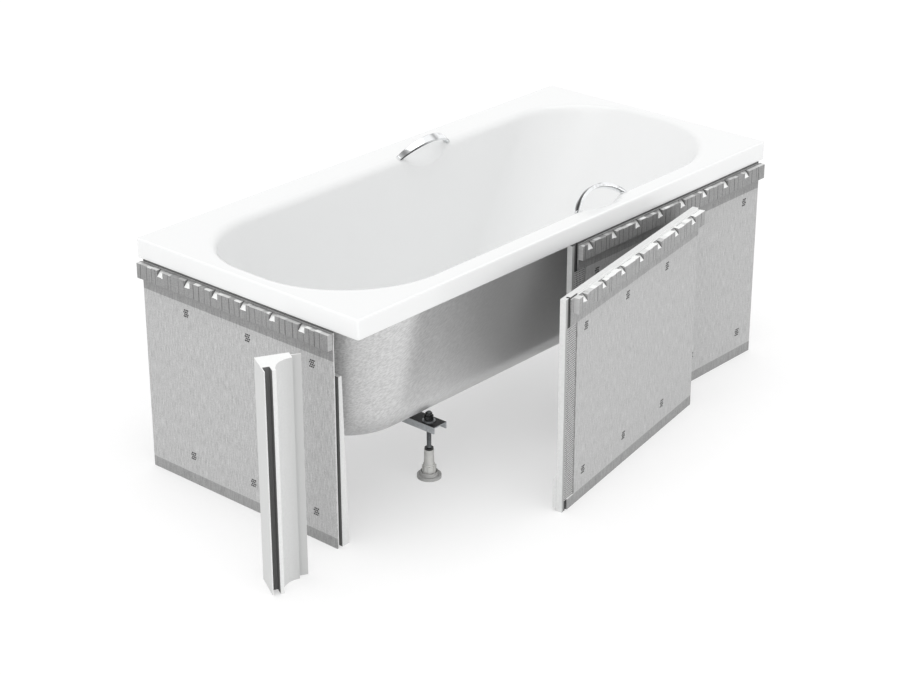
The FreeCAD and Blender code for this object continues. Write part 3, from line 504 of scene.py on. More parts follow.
def coated(material, graph, **values):
    """Ends a material with its shader, whose named inputs get the values."""
    shader = graph.fill(graph.node("ShaderNodeBsdfPrincipled"), spaced(values))
    graph.fill(graph.node("ShaderNodeOutputMaterial"), {0: shader[0]})
    return material


@cache
def enamel_finish():
    """White gloss enamel where tone is 1; where it is 0, a grey coat, most flecked at the foot end and darker
    there as painted shade.
    """
    tub = bpy.context.scene.bath_tub
    material, graph = finish("Enamel and ground coat")
    tone, spot = graph.tone(), graph.place()
    along = graph.split(spot)["X"]
    aslant = graph.mapped(spot, Rotation=(0.0, math.radians(28), 0.0))
    flecks = speckle(graph, 0.003, graph.mapped(aslant, Scale=(0.25, 0.5, 1.0)))["Flecks"]
    strength = graph.range(along, -0.62, -0.2, 0.95, 0.15)
    fleck = graph.math("ADD", graph.times(graph.minus(flecks, 0.5), strength), 0.5)
    # Painted shade: a darker copy of the coat, drawn towards the foot end, dims the light on its rounded
    # corner
    full, painted_shade_coat = (graph.mix(fleck, shade(tub.coat_dark, light), shade(tub.coat_light, light))
                  for light in (1.0, 0.7))
    coat = graph.mix(graph.range(along, -0.74, -0.42), painted_shade_coat, full)
    clouds = speckle(graph, 0.06, spot)["Clouds"]
    white = graph.shades(clouds, tub.enamel, 0.992, 1.0)
    rough = graph.range(fleck, 0.0, 1.0, 0.30, 0.42)
    gloss = graph.range(clouds, 0.0, 1.0, 0.215, 0.225)
    height = graph.times(fleck, graph.minus(1.0, tone))
    return coated(material, graph, Base_Color=graph.mix(tone, coat, white),
                  Roughness=graph.fade(tone, rough, gloss), Coat_Weight=graph.times(tone, 0.12),
                  Metallic=graph.range(tone, 0.0, 1.0, 0.6, 0.0), Normal=graph.bump(height, 0.35, 0.0005))


@cache
def chrome_finish():
    """Polished chrome with smoky patches; painted dark reflections and painted shade where tone is 1."""
    chrome = bpy.context.scene.bath_metal.chrome
    material, graph = finish("Polished chrome")
    clouds = speckle(graph, 0.0016)["Clouds"]
    bright = graph.shades(graph.range(clouds, 0.12, 0.5), chrome, 0.95, 1.2)
    color = graph.mix(graph.tone(), bright, shade(chrome, 0.05))
    return coated(material, graph, Base_Color=color, Metallic=1.0,
                  Roughness=graph.range(clouds, 0.0, 1.0, 0.04, 0.09))


@cache
def zinc_finish(kind="bright", light=1.0):
    """Galvanised steel: spangled patches and a soft sheen; where top shaded, painted shade, black and without
    sheen, on the faces that look up.
    """
    metal = bpy.context.scene.bath_metal
    material, graph = finish("Galvanised steel, " + kind)
    spot = graph.place()
    spangle = graph.cells(spot, 170.0)["Color"]
    shift = graph.fill(graph.node("ShaderNodeSeparateColor"), {0: spangle})[0]
    grain = speckle(graph, 0.003, spot)
    patchy = graph.fade(0.6, grain["Clouds"], shift)
    color, sheen = graph.shades(patchy, metal.zinc, 0.8 * light, 1.12 * light), 0.9
    if kind == "top_shaded":
        # Painted shade: faces that look up are black and without sheen, standing in for the shade under the
        # tub
        painted_shade = graph.upward()
        color = graph.mix(painted_shade, color, shade(metal.black, 1.0))
        sheen = graph.range(painted_shade, 0.0, 1.0, sheen, 0.0)
    return coated(material, graph, Base_Color=color, Metallic=sheen,
                  Roughness=graph.range(patchy, 0.0, 1.0, 0.26, 0.44),
                  Normal=graph.bump(grain["Flecks"], 0.08, 0.0003))


@cache
def moulded_finish(kind):
    """Moulded plastic or rubber with a fine grain."""
    metal = bpy.context.scene.bath_metal
    name, color, low, high = {
        "grey": ("Grey moulded plastic", metal.grey, 0.42, 0.56),
        "black": ("Black moulded plastic", metal.black, 0.16, 0.26),
        "pale": ("Pale moulded plastic", metal.pale, 0.4, 0.52),
        "waste": ("Waste pipe plastic", metal.waste, 0.26, 0.38),
        "rubber": ("Black rubber", (0.03, 0.03, 0.03), 0.6, 0.75),
        "clear": ("Clear gasket", (0.78, 0.79, 0.79), 0.3, 0.4)}[kind]
    material, graph = finish(name)
    grain = speckle(graph, 0.0012)
    return coated(material, graph, Base_Color=graph.shades(grain["Clouds"], color, 0.9, 1.08),
                  Roughness=graph.range(grain["Flecks"], 0.0, 1.0, low, high),
                  Normal=graph.bump(grain["Flecks"], 0.12, 0.0003))


def own_spot(graph, stand):
    """Along and inwards, in metres, from the corner of a piece that is turned about the upright."""
    spot = []
    for degrees in (stand["turn"], stand["turn"] + 90):
        turn = math.radians(degrees)
        start = stand["x"] * math.cos(turn) + stand["y"] * math.sin(turn)
        spot.append(graph.minus(graph.reach(degrees), start * MM))
    return spot


def painted_rim_shade(graph, color):
    """The colour, with painted shade, nearly black, above the strips of a panel that stands under the rim."""
    above = graph.step(graph.split(graph.place())["Z"], PANEL_TOP + 0.4, 0.2)
    return graph.mix(above, color, shade(bpy.context.scene.bath_skirt.foam, 0.16))


@cache
def foam_finish(where):
    """Cut hard foam: cells and a grain, painted shade in the grooves, under the mesh, on the post and above a
    seated panel's strip, painted light on the post's tops, and a coat on a board's back.
    """
    skirt, shading = bpy.context.scene.bath_skirt, PAINTED_SHADE_PLACES[where]
    material, graph = finish("Cut hard foam, " + where)
    cells = graph.use(foam_cells_group(), Vector=graph.place(), Cell_Size=0.0014)
    color = graph.shades(cells["Grain"], skirt.foam, 0.96, 1.03)
    along, inwards = own_spot(graph, shading)
    # Painted shade: the post is darker over the cove's far side and on its outer face
    if where == "post":
        color = graph.mix(graph.range(inwards, 0.03, 0.085), color, shade(skirt.foam, 0.74))
        color = graph.mix(graph.step(inwards, 0.2), shade(skirt.foam, 0.88), color)
    # Painted shade in each box, as light as its last number says
    for left, right, front, back, light in shading["boxes"]:
        inside = 1.0
        for value, low, high in ((along, left, right), (inwards, front, back)):
            past_low, past_high = graph.step(value, low), graph.step(value, high)
            inside = graph.minus(graph.times(inside, past_low), past_high, clamp=True)
        color = graph.mix(inside, color, shade(skirt.foam, light))
    # Painted light: the post's tops are lighter than the foam
    if where == "post":
        color = graph.mix(graph.upward(), color, shade(skirt.foam, 1.2))
    else:
        coat = graph.minus(graph.step(inwards, BOARD - 0.1, 0.05), graph.step(inwards, BOARD + 0.1, 0.05))
        color = graph.mix(coat, color, shade(skirt.face, 0.7))
    if where in SEATED:
        color = painted_rim_shade(graph, color)
    return coated(material, graph, Base_Color=color, Roughness=0.85,
                  Normal=graph.bump(cells["Height"], 0.2, 0.0003))


@cache
def coat_finish(kind, name):
    """Cement coat of a panel's face or bands, woven upright on that panel; the upper band takes the panel's
    painted light and shade, a free top edge is cut white, and a seated panel gets painted shade above its
    strip.
    """
    skirt, panel = bpy.context.scene.bath_skirt, PANELS[name]
    # Painted light and shade: the panel's light factor lightens or darkens its upper band
    color, spread = {"face": (skirt.face, 0.3 * panel["grain"]),
                     "band": (shade(skirt.band, panel["light"]), 0.42)}[kind]
    low, high = 0.98 - spread, 0.98 + spread
    material, graph = finish("%s %s coat" % (name.capitalize(), kind))
    masks = woven(graph, name, skirt.streak_width, skirt.thread_pitch)
    worn = graph.fade(0.68, masks["Grit"], masks["Streaks"])
    coat = graph.shades(worn, color, low, high)
    if kind == "band":
        above_foot = graph.step(graph.split(graph.place())["Z"], 2 * BAND_BOTTOM, BAND_BOTTOM / 4)
        coat = graph.mix(above_foot, graph.shades(worn, skirt.band, low, high), coat)
    if name in SEATED:
        coat = painted_rim_shade(graph, coat)
    else:
        coat = graph.mix(graph.upward(), coat, shade(skirt.foam, 1.15))
    height = graph.math("ADD", graph.times(masks["Threads"], 0.6), masks["Grit"])
    return coated(material, graph, Base_Color=coat,
                  Roughness=graph.range(masks["Grit"], 0.0, 1.0, 0.72, 0.92),
                  Normal=graph.bump(height, 0.25, 0.0004))


@cache
def strip_finish(name):
    """Scored grey foam: white at tone 1, on slopes and broken edges; painted shade below 0, dark in score
    cuts, on notch sides and on tops under the rim.
    """
    skirt = bpy.context.scene.bath_skirt
    material, graph = finish("%s scored strip" % name.capitalize())
    masks, tone = woven(graph, name, 0.0022, 0.0031), graph.tone()
    worn = graph.fade(0.55, masks["Grit"], masks["Streaks"])
    # Painted light and shade: the panel's light factor lightens or darkens its strip
    grey = graph.shades(worn, shade(skirt.strip, PANELS[name]["light"]), 0.68, 1.28)
    pale = graph.mix(tone, grey, shade(skirt.foam, 1.2))
    color = graph.mix(graph.times(tone, -1.0), pale, shade(skirt.strip, 0.16))
    return coated(material, graph, Base_Color=color, Roughness=0.85,
                  Normal=graph.bump(masks["Grit"], 0.35, 0.0006))


@cache
def strand_finish():
    """Coated glass fibre strands."""
    material, graph = finish("Glass fibre strands")
    grain = speckle(graph, 0.0008)
    color = graph.shades(grain["Flecks"], bpy.context.scene.bath_skirt.strands, 0.85, 1.1)
    return coated(material, graph, Base_Color=color,
                  Roughness=graph.range(grain["Clouds"], 0.0, 1.0, 0.5, 0.7))


@cache
def painted_hole_shade_finish():
    """Painted shade: the dark inside of the punched holes."""
    material, graph = finish("Punched holes")
    color = graph.shades(speckle(graph, 0.0006)["Flecks"], (0.004, 0.004, 0.004), 1.0, 3.0)
    return coated(material, graph, Base_Color=color, Roughness=0.9)


# Tub
def wall_inset(depth, reach, roll, bowl):
    """Distance from the rim's edge to the wall: an arc over the roll, a slope, an arc into the floor."""
    turn, rest = roll + bowl, BASIN_DEPTH - roll - bowl
    slope = math.atan2(rest, reach) + math.asin(turn / math.hypot(rest, reach))
    upper = roll * np.sqrt(np.clip(1 - (1 - depth / roll) ** 2, 0, None))
    lower = reach - bowl * np.sqrt(np.clip(1 - (1 - (BASIN_DEPTH - depth) / bowl) ** 2, 0, None))
    straight = roll * math.sin(slope) + (depth - roll * (1 - math.cos(slope))) / math.tan(slope)
    inset = np.where(depth < roll * (1 - math.cos(slope)), upper, straight)
    return np.where(depth > BASIN_DEPTH - bowl * (1 - math.cos(slope)), lower, inset)


def side_steps():
    """Shares along the long sides, up to five times closer together beside the grips."""
    grip = (GRIP_X - FOOT_EDGE - FRONT_CORNER) / (HEAD_EDGE - FOOT_EDGE - 2 * FRONT_CORNER)
    share = np.linspace(0, 1, 2001)
    total = np.cumsum(1 + 4 * np.exp(-((share - grip) / 0.10) ** 4))
    total = (total - total[0]) / (total[-1] - total[0])
    return np.interp(np.linspace(0, 1, LONG_STEPS, endpoint=False), total, share)


def outline(x0, x1, y0, y1, front, back):
    """Rows of closed outlines: front side, head end, back side, foot end, with a quarter arc after each."""
    x0, x1, y0, y1, front, back = (np.asarray(v, float)[:, None] for v in (x0, x1, y0, y1, front, back))
    long, short = side_steps(), np.linspace(0, 1, SHORT_STEPS, endpoint=False)
    arc = np.linspace(0, np.pi / 2, ARC_STEPS, endpoint=False)
    c, s = np.cos(arc), np.sin(arc)
    zero = np.zeros_like(x0)
    xs = [x0 + front + (x1 - x0 - 2 * front) * long, x1 - front + front * s, x1 + zero * short,
          x1 - back + back * c, x1 - back - (x1 - x0 - 2 * back) * (1 - long[::-1]), x0 + back - back * s,
          x0 + zero * short, x0 + front - front * c]
    ys = [y0 + zero * long, y0 + front - front * c, y0 + front + (y1 - y0 - front - back) * short,
          y1 - back + back * s, y1 + zero * long, y1 - back + back * c,
          y1 - back - (y1 - y0 - front - back) * short, y0 + front - front * s]
    return np.concatenate(xs, 1), np.concatenate(ys, 1)


def basin_rows(depth, roll, bowl, top):
    """Wall of the basin: one rounded outline at each depth, its corners tighter towards the floor."""
    foot, head, front, back = (wall_inset(depth, reach, roll, bowl)
                               for reach in (FOOT_REACH, HEAD_REACH, FRONT_REACH, BACK_REACH))
    share = front / FRONT_REACH
    x, y = outline(FOOT_EDGE + foot, HEAD_EDGE - head, FRONT_EDGE + front, BACK_EDGE - back,
                   FRONT_CORNER + (FLOOR_CORNER - FRONT_CORNER) * share,
                   BACK_CORNER + (FLOOR_CORNER - BACK_CORNER) * share)
    return at_heights(x, y, top - depth)


def apron_rows(inset, heights):
    """Outlines of the apron at given heights: the rim's rectangle and its corners drawn in by an inset."""
    inset, heights = np.broadcast_arrays(np.asarray(inset, float), heights)
    x, y = TUB_LENGTH / 2 - inset, TUB_WIDTH / 2 - inset
    return at_heights(*outline(-x, x, -y, y, APRON_CORNER - inset, APRON_CORNER - inset), heights)


def between(first, last, shares):
    """Rows that go straight from one row to another."""
    shares = np.asarray(shares, float)[:, None, None]
    return first * (1 - shares) + last * shares


def pressed(points, radius, softness):
    """Points inside either grip's ball are pushed out to its surface, with a soft edge."""
    for side in (-1, 1):
        place = np.array(roll_place(side, HOLLOW_ANGLE))
        centre = place[:3, 3] + place[:3, 2] * (HOLLOW_RADIUS - HOLLOW_DEPTH)
        away = points - centre
        reach = np.linalg.norm(away, axis=-1, keepdims=True)
        outer = (reach + radius + np.sqrt((reach - radius) ** 2 + softness ** 2)) / 2
        points = centre + away / reach * np.where(reach < radius + 12 * softness, outer, reach)
    return points


def basin_depths(roll, bowl):
    """Depths from the floor up to the rim: close in the bowl, by the grips and over the roll."""
    bend = np.radians(np.linspace(0, 78, 14))
    over = np.radians(np.linspace(84, 0, 15))
    wall, by_grips = np.linspace(348, 118, 16), np.linspace(113, 24, 24)
    return np.concatenate([BASIN_DEPTH - bowl * (1 - np.cos(bend)), wall, by_grips,
                           roll * (1 - np.cos(over))])


def tub_rows():
    """The shell as one closed grid: floor, wall, roll, rim and apron, then back along the hidden side."""
    softness = bpy.context.scene.bath_tub.hollow_soft / MM
    bend, lip = np.radians(np.linspace(0, 90, 7)), np.radians(np.linspace(0, 180, 7))
    edge, hidden_roll, hidden_bowl = STEEL / 2, RIM_ROLL - STEEL, FLOOR_BOWL + STEEL
    inner = basin_rows(basin_depths(RIM_ROLL, FLOOR_BOWL), RIM_ROLL, FLOOR_BOWL, RIM_HEIGHT)
    floor = between(inner[:1].mean(1, keepdims=True), inner[:1], [0] + FLOOR_SHARES)
    shoulder = apron_rows(APRON_TOP * (1 - np.sin(bend)), RIM_HEIGHT - APRON_TOP * (1 - np.cos(bend)))
    rim = between(inner[-1:], shoulder[:1], RIM_SHARES)
    skirt = apron_rows(0.0, APRON_ROWS)
    hem = apron_rows(edge * (1 - np.cos(lip)), RIM_UNDER + edge - edge * np.sin(lip))
    inside = apron_rows(STEEL, APRON_INNER_ROWS + [RIM_HEIGHT - STEEL])
    hidden = basin_rows(basin_depths(hidden_roll, hidden_bowl)[::-1], hidden_roll, hidden_bowl,
                        RIM_HEIGHT - STEEL)
    under = between(inside[-1:], hidden[:1], [0.2, 0.5, 0.77, 0.9])
    sole = between(hidden[-1:], hidden[-1:].mean(1, keepdims=True), FLOOR_SHARES + [1])
    bright = pressed(np.concatenate([floor, inner, rim, shoulder]), HOLLOW_RADIUS, softness)
    dull = pressed(np.concatenate([under, hidden, sole]), HOLLOW_RADIUS + STEEL, softness)
    rows = np.concatenate([bright, skirt, hem, inside, dull])
    tone = np.zeros((len(rows), 1))
    tone[:len(bright) + len(skirt) + len(hem) // 2 + 1] = 1.0
    return rows, tone


def cut_round_hole(obj, place, radius, reach):
    """Cuts a round hole through a piece along a placement's Z."""
    verts, faces, _ = patch(capped(moved(lathe([(radius, -reach), (radius, reach)]), place)) * MM)
    mesh = bpy.data.meshes.new("cutter")
    mesh.from_pydata(verts.tolist(), [], faces.tolist())
    close_seams(mesh)
    cutter = bpy.data.objects.new("cutter", mesh)
    bpy.context.scene.collection.objects.link(cutter)
    cut = obj.modifiers.new("Hole", "BOOLEAN")
    cut.object = cutter
    cut.operation = "DIFFERENCE"
    cut.solver = "EXACT"
    bpy.context.view_layer.update()
    shape = bpy.data.meshes.new_from_object(obj.evaluated_get(bpy.context.evaluated_depsgraph_get()))
    obj.modifiers.remove(cut)
    obj.data = shape
    bpy.data.objects.remove(cutter)


class BATHTUB_OT_tub(bpy.types.Operator):
    """Builds the enamelled shell with its grip hollows and waste holes"""
    bl_idname = "bathtub.tub"
    bl_label = "Tub shell"

    def execute(self, context):
        shell = piece("tub_enamelled_shell", [patch(*tub_rows())], enamel_finish(), "tub",
                      ["tub_shell"])
        drain = Matrix.Translation((DRAIN_X, MIDDLE_Y, FLOOR_TOP - STEEL / 2))
        cut_round_hole(shell, drain, DRAIN_HOLE, 4 * STEEL)
        cut_round_hole(shell, overflow_place(), OVERFLOW_HOLE, 4 * STEEL)
        return {"FINISHED"}


# Grips
def grip_arc():
    """Rise of a bow along its lean, and the radius of the arc through its ends and its top."""
    rise = math.hypot(GRIP_RISE, GRIP_LEAN)
    return rise, (GRIP_CHORD ** 2 / 4 + rise ** 2) / (2 * rise)


def strap_rows(side):
    """Flat bow: a rounded section, narrower to its ends, carried along an arc that leans over the basin."""
    base = np.array(roll_place(side, GRIP_ANGLE))[:3, 3]
    rise, radius = grip_arc()
    lengthwise, upward = np.array([1.0, 0, 0]), np.array([0, -side * GRIP_LEAN, GRIP_RISE]) / rise
    half = math.asin(GRIP_CHORD / 2 / radius)
    a = np.linspace(-half, half, BOW_STEPS)[:, None, None]
    b = np.linspace(0, 2 * np.pi, SECTION_STEPS, endpoint=False)
    wide = signed_power(np.cos(b), 0.35)[:, None] * GRIP_WIDTH / 2
    thick = signed_power(np.sin(b), 0.32)[:, None] * GRIP_THICK / 2
    taper = GRIP_END + (1 - GRIP_END) * np.cos(a / half * np.pi / 2)
    out = lengthwise * np.sin(a) + upward * np.cos(a)
    centre = base + upward * (rise - radius)
    across = np.cross(lengthwise, upward)
    rows = centre + out * (radius - GRIP_THICK / 2 + thick * taper) + across * wide * taper
    return rows, strap_painted_reflections(side, a[:, 0] / half, np.sin(b)[None, :], np.cos(b)[None, :])


def strap_painted_reflections(side, along, out, near):
    """Painted reflections: smoky bands across the bow's top, a grey far edge, a dark line on the near edge;
    painted shade, grey, below.
    """
    bands = sum(depth * np.exp(-((along - middle) / width) ** 2)
                for middle, width, depth in ((-0.8, 0.15, 0.75), (0.12, 0.08, 0.55), (0.84, 0.14, 0.8)))
    far = 0.6 * np.clip(-near * 3 - 1.6, 0, 1)
    top = np.maximum(bands, far) * np.clip(out * 3, 0, 1)
    edge = np.abs(out) < 0.8 if side > 0 else np.abs(out - 0.74) < 0.28
    low = 0.55 * (out < -0.7) * (side < 0)
    return np.maximum(top, np.maximum(np.clip(0.3 - 1.6 * along, 0, 1) * edge, low) * (near > 0))


def grip_post(side, end):
    """Round post under one end of a grip, with its stud."""
    rise, radius = grip_arc()
    x = end * (GRIP_CHORD / 2 - POST_INSET)
    top = math.sqrt(radius ** 2 - x ** 2) - (radius - rise) - GRIP_THICK / 2
    profile = [(0, -STUD_LENGTH), (4, -STUD_LENGTH), (4, 0.2), (6.8, 0.2), (6.4, top), (0, top)]
    return moved(lathe(rounded_profile(profile, 0.8), 32) + np.array([x, 0, 0]), roll_place(side, GRIP_ANGLE))


class BATHTUB_OT_grips(bpy.types.Operator):
    """Builds the two chrome grips with their posts"""
    bl_idname = "bathtub.grips"
    bl_label = "Grips"

    def execute(self, context):
        for side, name in ((-1, "grip_front"), (1, "grip_back")):
            strap, tone = strap_rows(side)
            parts = [patch(capped(strap), capped_tone(tone))]
            parts += [patch(grip_post(side, end)) for end in (-1, 1)]
            piece(name + "_bow", parts, chrome_finish(), "tub", [name])
        dress(moulded_finish("clear"), "grip_gaskets")
        dress(zinc_finish(), "grip_nuts")
        return {"FINISHED"}


# Legs
def thread_rows():
    """Threaded rod: the radius falls and rises once for each pitch, turned along with the angle."""
    z = np.arange(ROD_BOTTOM, ROD_TOP + 0.01, THREAD_PITCH / 6)
    angle = np.linspace(0, 2 * np.pi, 24, endpoint=False)[None, :]
    wave = np.abs(((z[:, None] / THREAD_PITCH - angle / (2 * np.pi)) % 1.0) * 2 - 1)
    radius = ROD_RADIUS - THREAD_DEPTH * np.clip(1.25 * wave - 0.125, 0, 1)
    return at_heights(radius * np.cos(angle), radius * np.sin(angle), z)


class BATHTUB_OT_legs(bpy.types.Operator):
    """Builds the threaded rods and dresses the rails, nuts and feet"""
    bl_idname = "bathtub.legs"
    bl_label = "Rails and legs"

    def execute(self, context):
        rod = capped(thread_rows())
        for i, (x, y) in enumerate(LEG_SPOTS, 1):
            piece("leg_thread_%d" % i, [patch(rod + np.array([x, y, 0]))], zinc_finish("dull", 0.45),
                  "tub", ["leg_rod_%d" % i], 60.0)
            dress(moulded_finish("grey"), "foot_base_%d" % i)
            dress(moulded_finish("pale"), "foot_sleeve_%d" % i)
            dress(moulded_finish("black"), "foot_collar_%d" % i)
        dress(zinc_finish("top_shaded"), "rail_foot_end", "rail_head_end")
        dress(zinc_finish(), "rail_screws", "rod_nuts", "rod_washers", "earth_tab")
        dress(moulded_finish("black"), "rod_caps", "rod_top_nuts")
        dress(moulded_finish("grey"), "rail_saddles")
        return {"FINISHED"}


# Waste set, with profiles of (radius, height) in millimetres over the floor or the overflow's wall
PLUG_PROFILE = ((0, -37.1), (4, -37.1), (4, 2.9), (26.0, 2.9), (27.0, 4.6), (24.0, 7.4), (13.0, 9.5),
                (0, 9.9))
FLANGE_PROFILE = ((21, -8), (21, 2.5), (34, 2.5), (35, 0.02), (24, 0.02), (24, -16), (21, -16), (21, -8))
KNOB_PROFILE = ((0, -9.6), (5, -9.6), (5, 4.4), (26, 4.4), (26, 9), (23, 16.4), (0, 16.4))
KNOB_BAR, KNOB_BAR_HEIGHT = (26, 9, 7), 17.9


class BATHTUB_OT_waste(bpy.types.Operator):
    """Builds the bright drain and overflow and dresses the pipes"""
    bl_idname = "bathtub.waste"
    bl_label = "Waste set"

    def execute(self, context):
        drain, wall = Matrix.Translation((DRAIN_X, MIDDLE_Y, FLOOR_TOP)), overflow_place()
        plug = lathe(rounded_profile(PLUG_PROFILE, 1.6))
        piece("drain_plug_dome", [patch(moved(plug, drain))], chrome_finish(), "drain_plug",
              ["drain_plug"])
        flange = lathe(rounded_profile(FLANGE_PROFILE, 1.0)[:-1])
        piece("drain_flange_ring", [patch(moved(flange, drain), ring=True)], chrome_finish(), "tub",
              ["drain_flange"])
        knob = lathe(rounded_profile(KNOB_PROFILE, 2.4))
        bar = superbar(KNOB_BAR) + np.array([0, 0, KNOB_BAR_HEIGHT])
        piece("overflow_knob_cover", [patch(moved(part, wall)) for part in (knob, bar)], chrome_finish(),
              "overflow_knob", ["overflow_knob"])
        dress(chrome_finish(), "overflow_ring")
        dress(moulded_finish("waste"), "drain_body", "trap_body", "overflow_body", "overflow_pipe")
        dress(moulded_finish("rubber"), "drain_gasket", "overflow_gasket", "plug_cable")
        return {"FINISHED"}


# Skirt
def hole_spots(panel):
    """Middles of a panel's punched holes: clusters with every other row set off by half a pitch."""
    row, column = np.meshgrid(np.arange(CLUSTER_ROWS), np.arange(CLUSTER_COLUMNS), indexing="ij")
    count = int((panel["length"] - panel["cluster"]) // CLUSTER_PITCH) + 1
    middle = panel["cluster"] + CLUSTER_PITCH * np.arange(count)[:, None, None]
    along = middle + HOLE_PITCH * (column - (CLUSTER_COLUMNS - 1) / 2 + (row % 2) / 2)
    up = HOLE_PITCH * (row - (CLUSTER_ROWS - 1) / 2)
    spots = [np.stack(np.broadcast_arrays(along, 0.0, z + up), -1) for z in (CLUSTER_LOW, CLUSTER_HIGH)]
    return np.concatenate(spots).reshape(-1, 3)


def hole_shade_cup():
    """A cup of painted shade that fills one punched hole: a flat lip on the face and a dish a little below
    it.
    """
    profile = ((0, 0.5), (1.7, 0.4), (2.1, -0.04), (2.36, -0.04), (2.36, -0.01), (2.17, -0.01),
               (2.17, 2.9), (0, 2.9))
    return lathe(profile, 10)[..., [0, 2, 1]]


class BATHTUB_OT_panels(bpy.types.Operator):
    """Dresses the panels and lines their punched holes with painted shade"""
    bl_idname = "bathtub.panels"
    bl_label = "Skirt panels"

    def execute(self, context):
        for name, panel in PANELS.items():
            body = name + "_panel"
            dress(coat_finish("face", name), body + "_face")
            dress(coat_finish("band", name), body + "_bands")
            dress(foam_finish(name), body + "_core", body + ("_rib" if name == "end" else "_shims"))
            verts, faces, tone = copies(hole_shade_cup(), hole_spots(panel))
            piece(name + "_panel_painted_hole_shade", [(moved(verts, panel_place(name)), faces, tone)],
                  painted_hole_shade_finish(), body, sharp=40.0)
        dress(foam_finish("post"), "corner_post")
        return {"FINISHED"}


def strip_steps(start, stop, lines, notches):
    """Places along a strip: even steps, closer ones across each score line and a few at notch sides."""
    across = (lines[:, None] + np.array([-1.6, -1.0, -0.5, 0, 0.5, 1.0, 1.6])).ravel()
    side = NOTCH_WIDTH / 2 + np.array([0.03, 0.0, -0.03])
    sides = (notches[:, None] + np.concatenate([-side, side])).ravel()
    ends = [start + 0.05, stop - 0.05, stop]
    return np.unique(np.clip(np.concatenate([np.arange(start, stop, 2.5), ends, across, sides]), start, stop))


def strip_rows(panel, seed):
    """Toothed strip: a section with a scored front, notches and a broken top, carried along the panel."""
    rng = np.random.default_rng(seed)
    start, stop, bare = panel["start"], panel["stop"], panel["bare"]
    pitch = bpy.context.scene.bath_skirt.score_pitch / MM
    lines = np.arange(start + pitch * 0.6, stop - pitch * 0.3, pitch)
    lines = lines + rng.uniform(-0.28, 0.28, lines.size) * pitch
    notches = np.arange(panel["notch"], stop, NOTCH_PITCH)
    u = strip_steps(start, stop, lines, notches)

    # In a notch cut is 1, and on its slope, between its upright sides, slope is 1 too
    apart = np.abs(u[:, None] - notches).min(1)
    cut, slope = ((apart < NOTCH_WIDTH / 2 + more).astype(float) for more in (0.01, -0.01))

    # Each score line has its depth, each tooth between two lines its sunk top, shift and broken edge
    away = np.abs(u[:, None] - lines)
    gap, nearest, tooth = away.min(1), away.argmin(1), np.searchsorted(lines, u)
    score = rng.uniform(*SCORE_DEPTHS, lines.size)[nearest] * np.clip(1 - gap / SCORE_HALF_WIDTH, 0, 1)
    sink = rng.choice(TOOTH_SINKS, lines.size + 1)[tooth]
    shift = rng.uniform(0, TOOTH_SHIFT, lines.size + 1)[tooth]
    broken = np.clip(rng.normal(bare, 0.3, lines.size + 1), 0, 1)[tooth]

    # The section, from the back of the underside round the front to the back of the top
    edge, nick, low, middle = TOOTH_EDGE, TOOTH_NICK, STRIP_BOTTOM, (STRIP_BOTTOM + PANEL_TOP) / 2
    front, top = -STRIP_DEPTH + score + shift, PANEL_TOP - sink
    knee, back = top - NOTCH_HEIGHT * cut - edge, front + NOTCH_DEPTH * cut + edge
    section = [(0, low), (-8, low), (front + edge, low), (front, low + edge), (front, low + 10),
               (front, middle), (front, knee), (front + nick, knee + nick),
               ((front + back) / 2, (knee + top) / 2), (back, top), (back / 2, top), (0, top), (0, middle)]
    y, z = (np.stack([np.broadcast_to(point[i], u.shape) for point in section], 1) for i in (0, 1))

    # Painted shade: dark score lines and notch sides and a darker upper slope; white slopes and broken edges
    line = -rng.uniform(0.1, 0.7, lines.size)[nearest] * np.clip(SCORE_SHADOW - gap, 0, 1) * (1 - cut)
    bared, side = broken * (1 - cut), -0.9 * (cut - slope)
    lower, upper = slope + 0.3 * bared + side, -0.5 * slope + bared + side
    # Painted shade: the rear of a top under the rim is dark; a free strip keeps its broken edge there
    rear_broken_and_shade = broken if bare == 1.0 else np.full_like(u, -0.6)
    tone = np.stack([line] * 7 + [lower, lower, upper, upper, rear_broken_and_shade, np.zeros_like(u)], 1)
    tone[[0, -1]] = 0.3
    return np.stack([np.broadcast_to(u[:, None], y.shape), y, z], -1), tone


class BATHTUB_OT_strips(bpy.types.Operator):
    """Builds the toothed strips under the rim"""
    bl_idname = "bathtub.strips"
    bl_label = "Toothed strips"

    def execute(self, context):
        for seed, (name, panel) in enumerate(PANELS.items(), 7):
            rows, tone = strip_rows(panel, seed)
            rows = moved(capped(rows), panel_place(name))
            piece(name + "_panel_toothed_strip", [patch(rows, capped_tone(tone))], strip_finish(name),
                  name + "_panel", [name + "_panel_strip"], 25.0)
        return {"FINISHED"}


def strand_bundle(count, length, pitch, flip):
    """Flat strands side by side, each waving over and under the ones that cross it: along, across and out."""
    t, number = np.arange(0, length + pitch / 4, pitch / 4)[None, :], np.arange(count)[:, None]
    wave = STRAND_WAVE * np.cos(np.pi * t / pitch + np.pi * number) * flip
    angle = np.linspace(0, 2 * np.pi, 6, endpoint=False)
    across = number[:, :, None] * pitch + STRAND_HALF_WIDTH * np.cos(angle)
    out = wave[:, :, None] + STRAND_HALF_THICK * np.sin(angle)
    return np.stack(np.broadcast_arrays(t[:, :, None], across, out), -1)


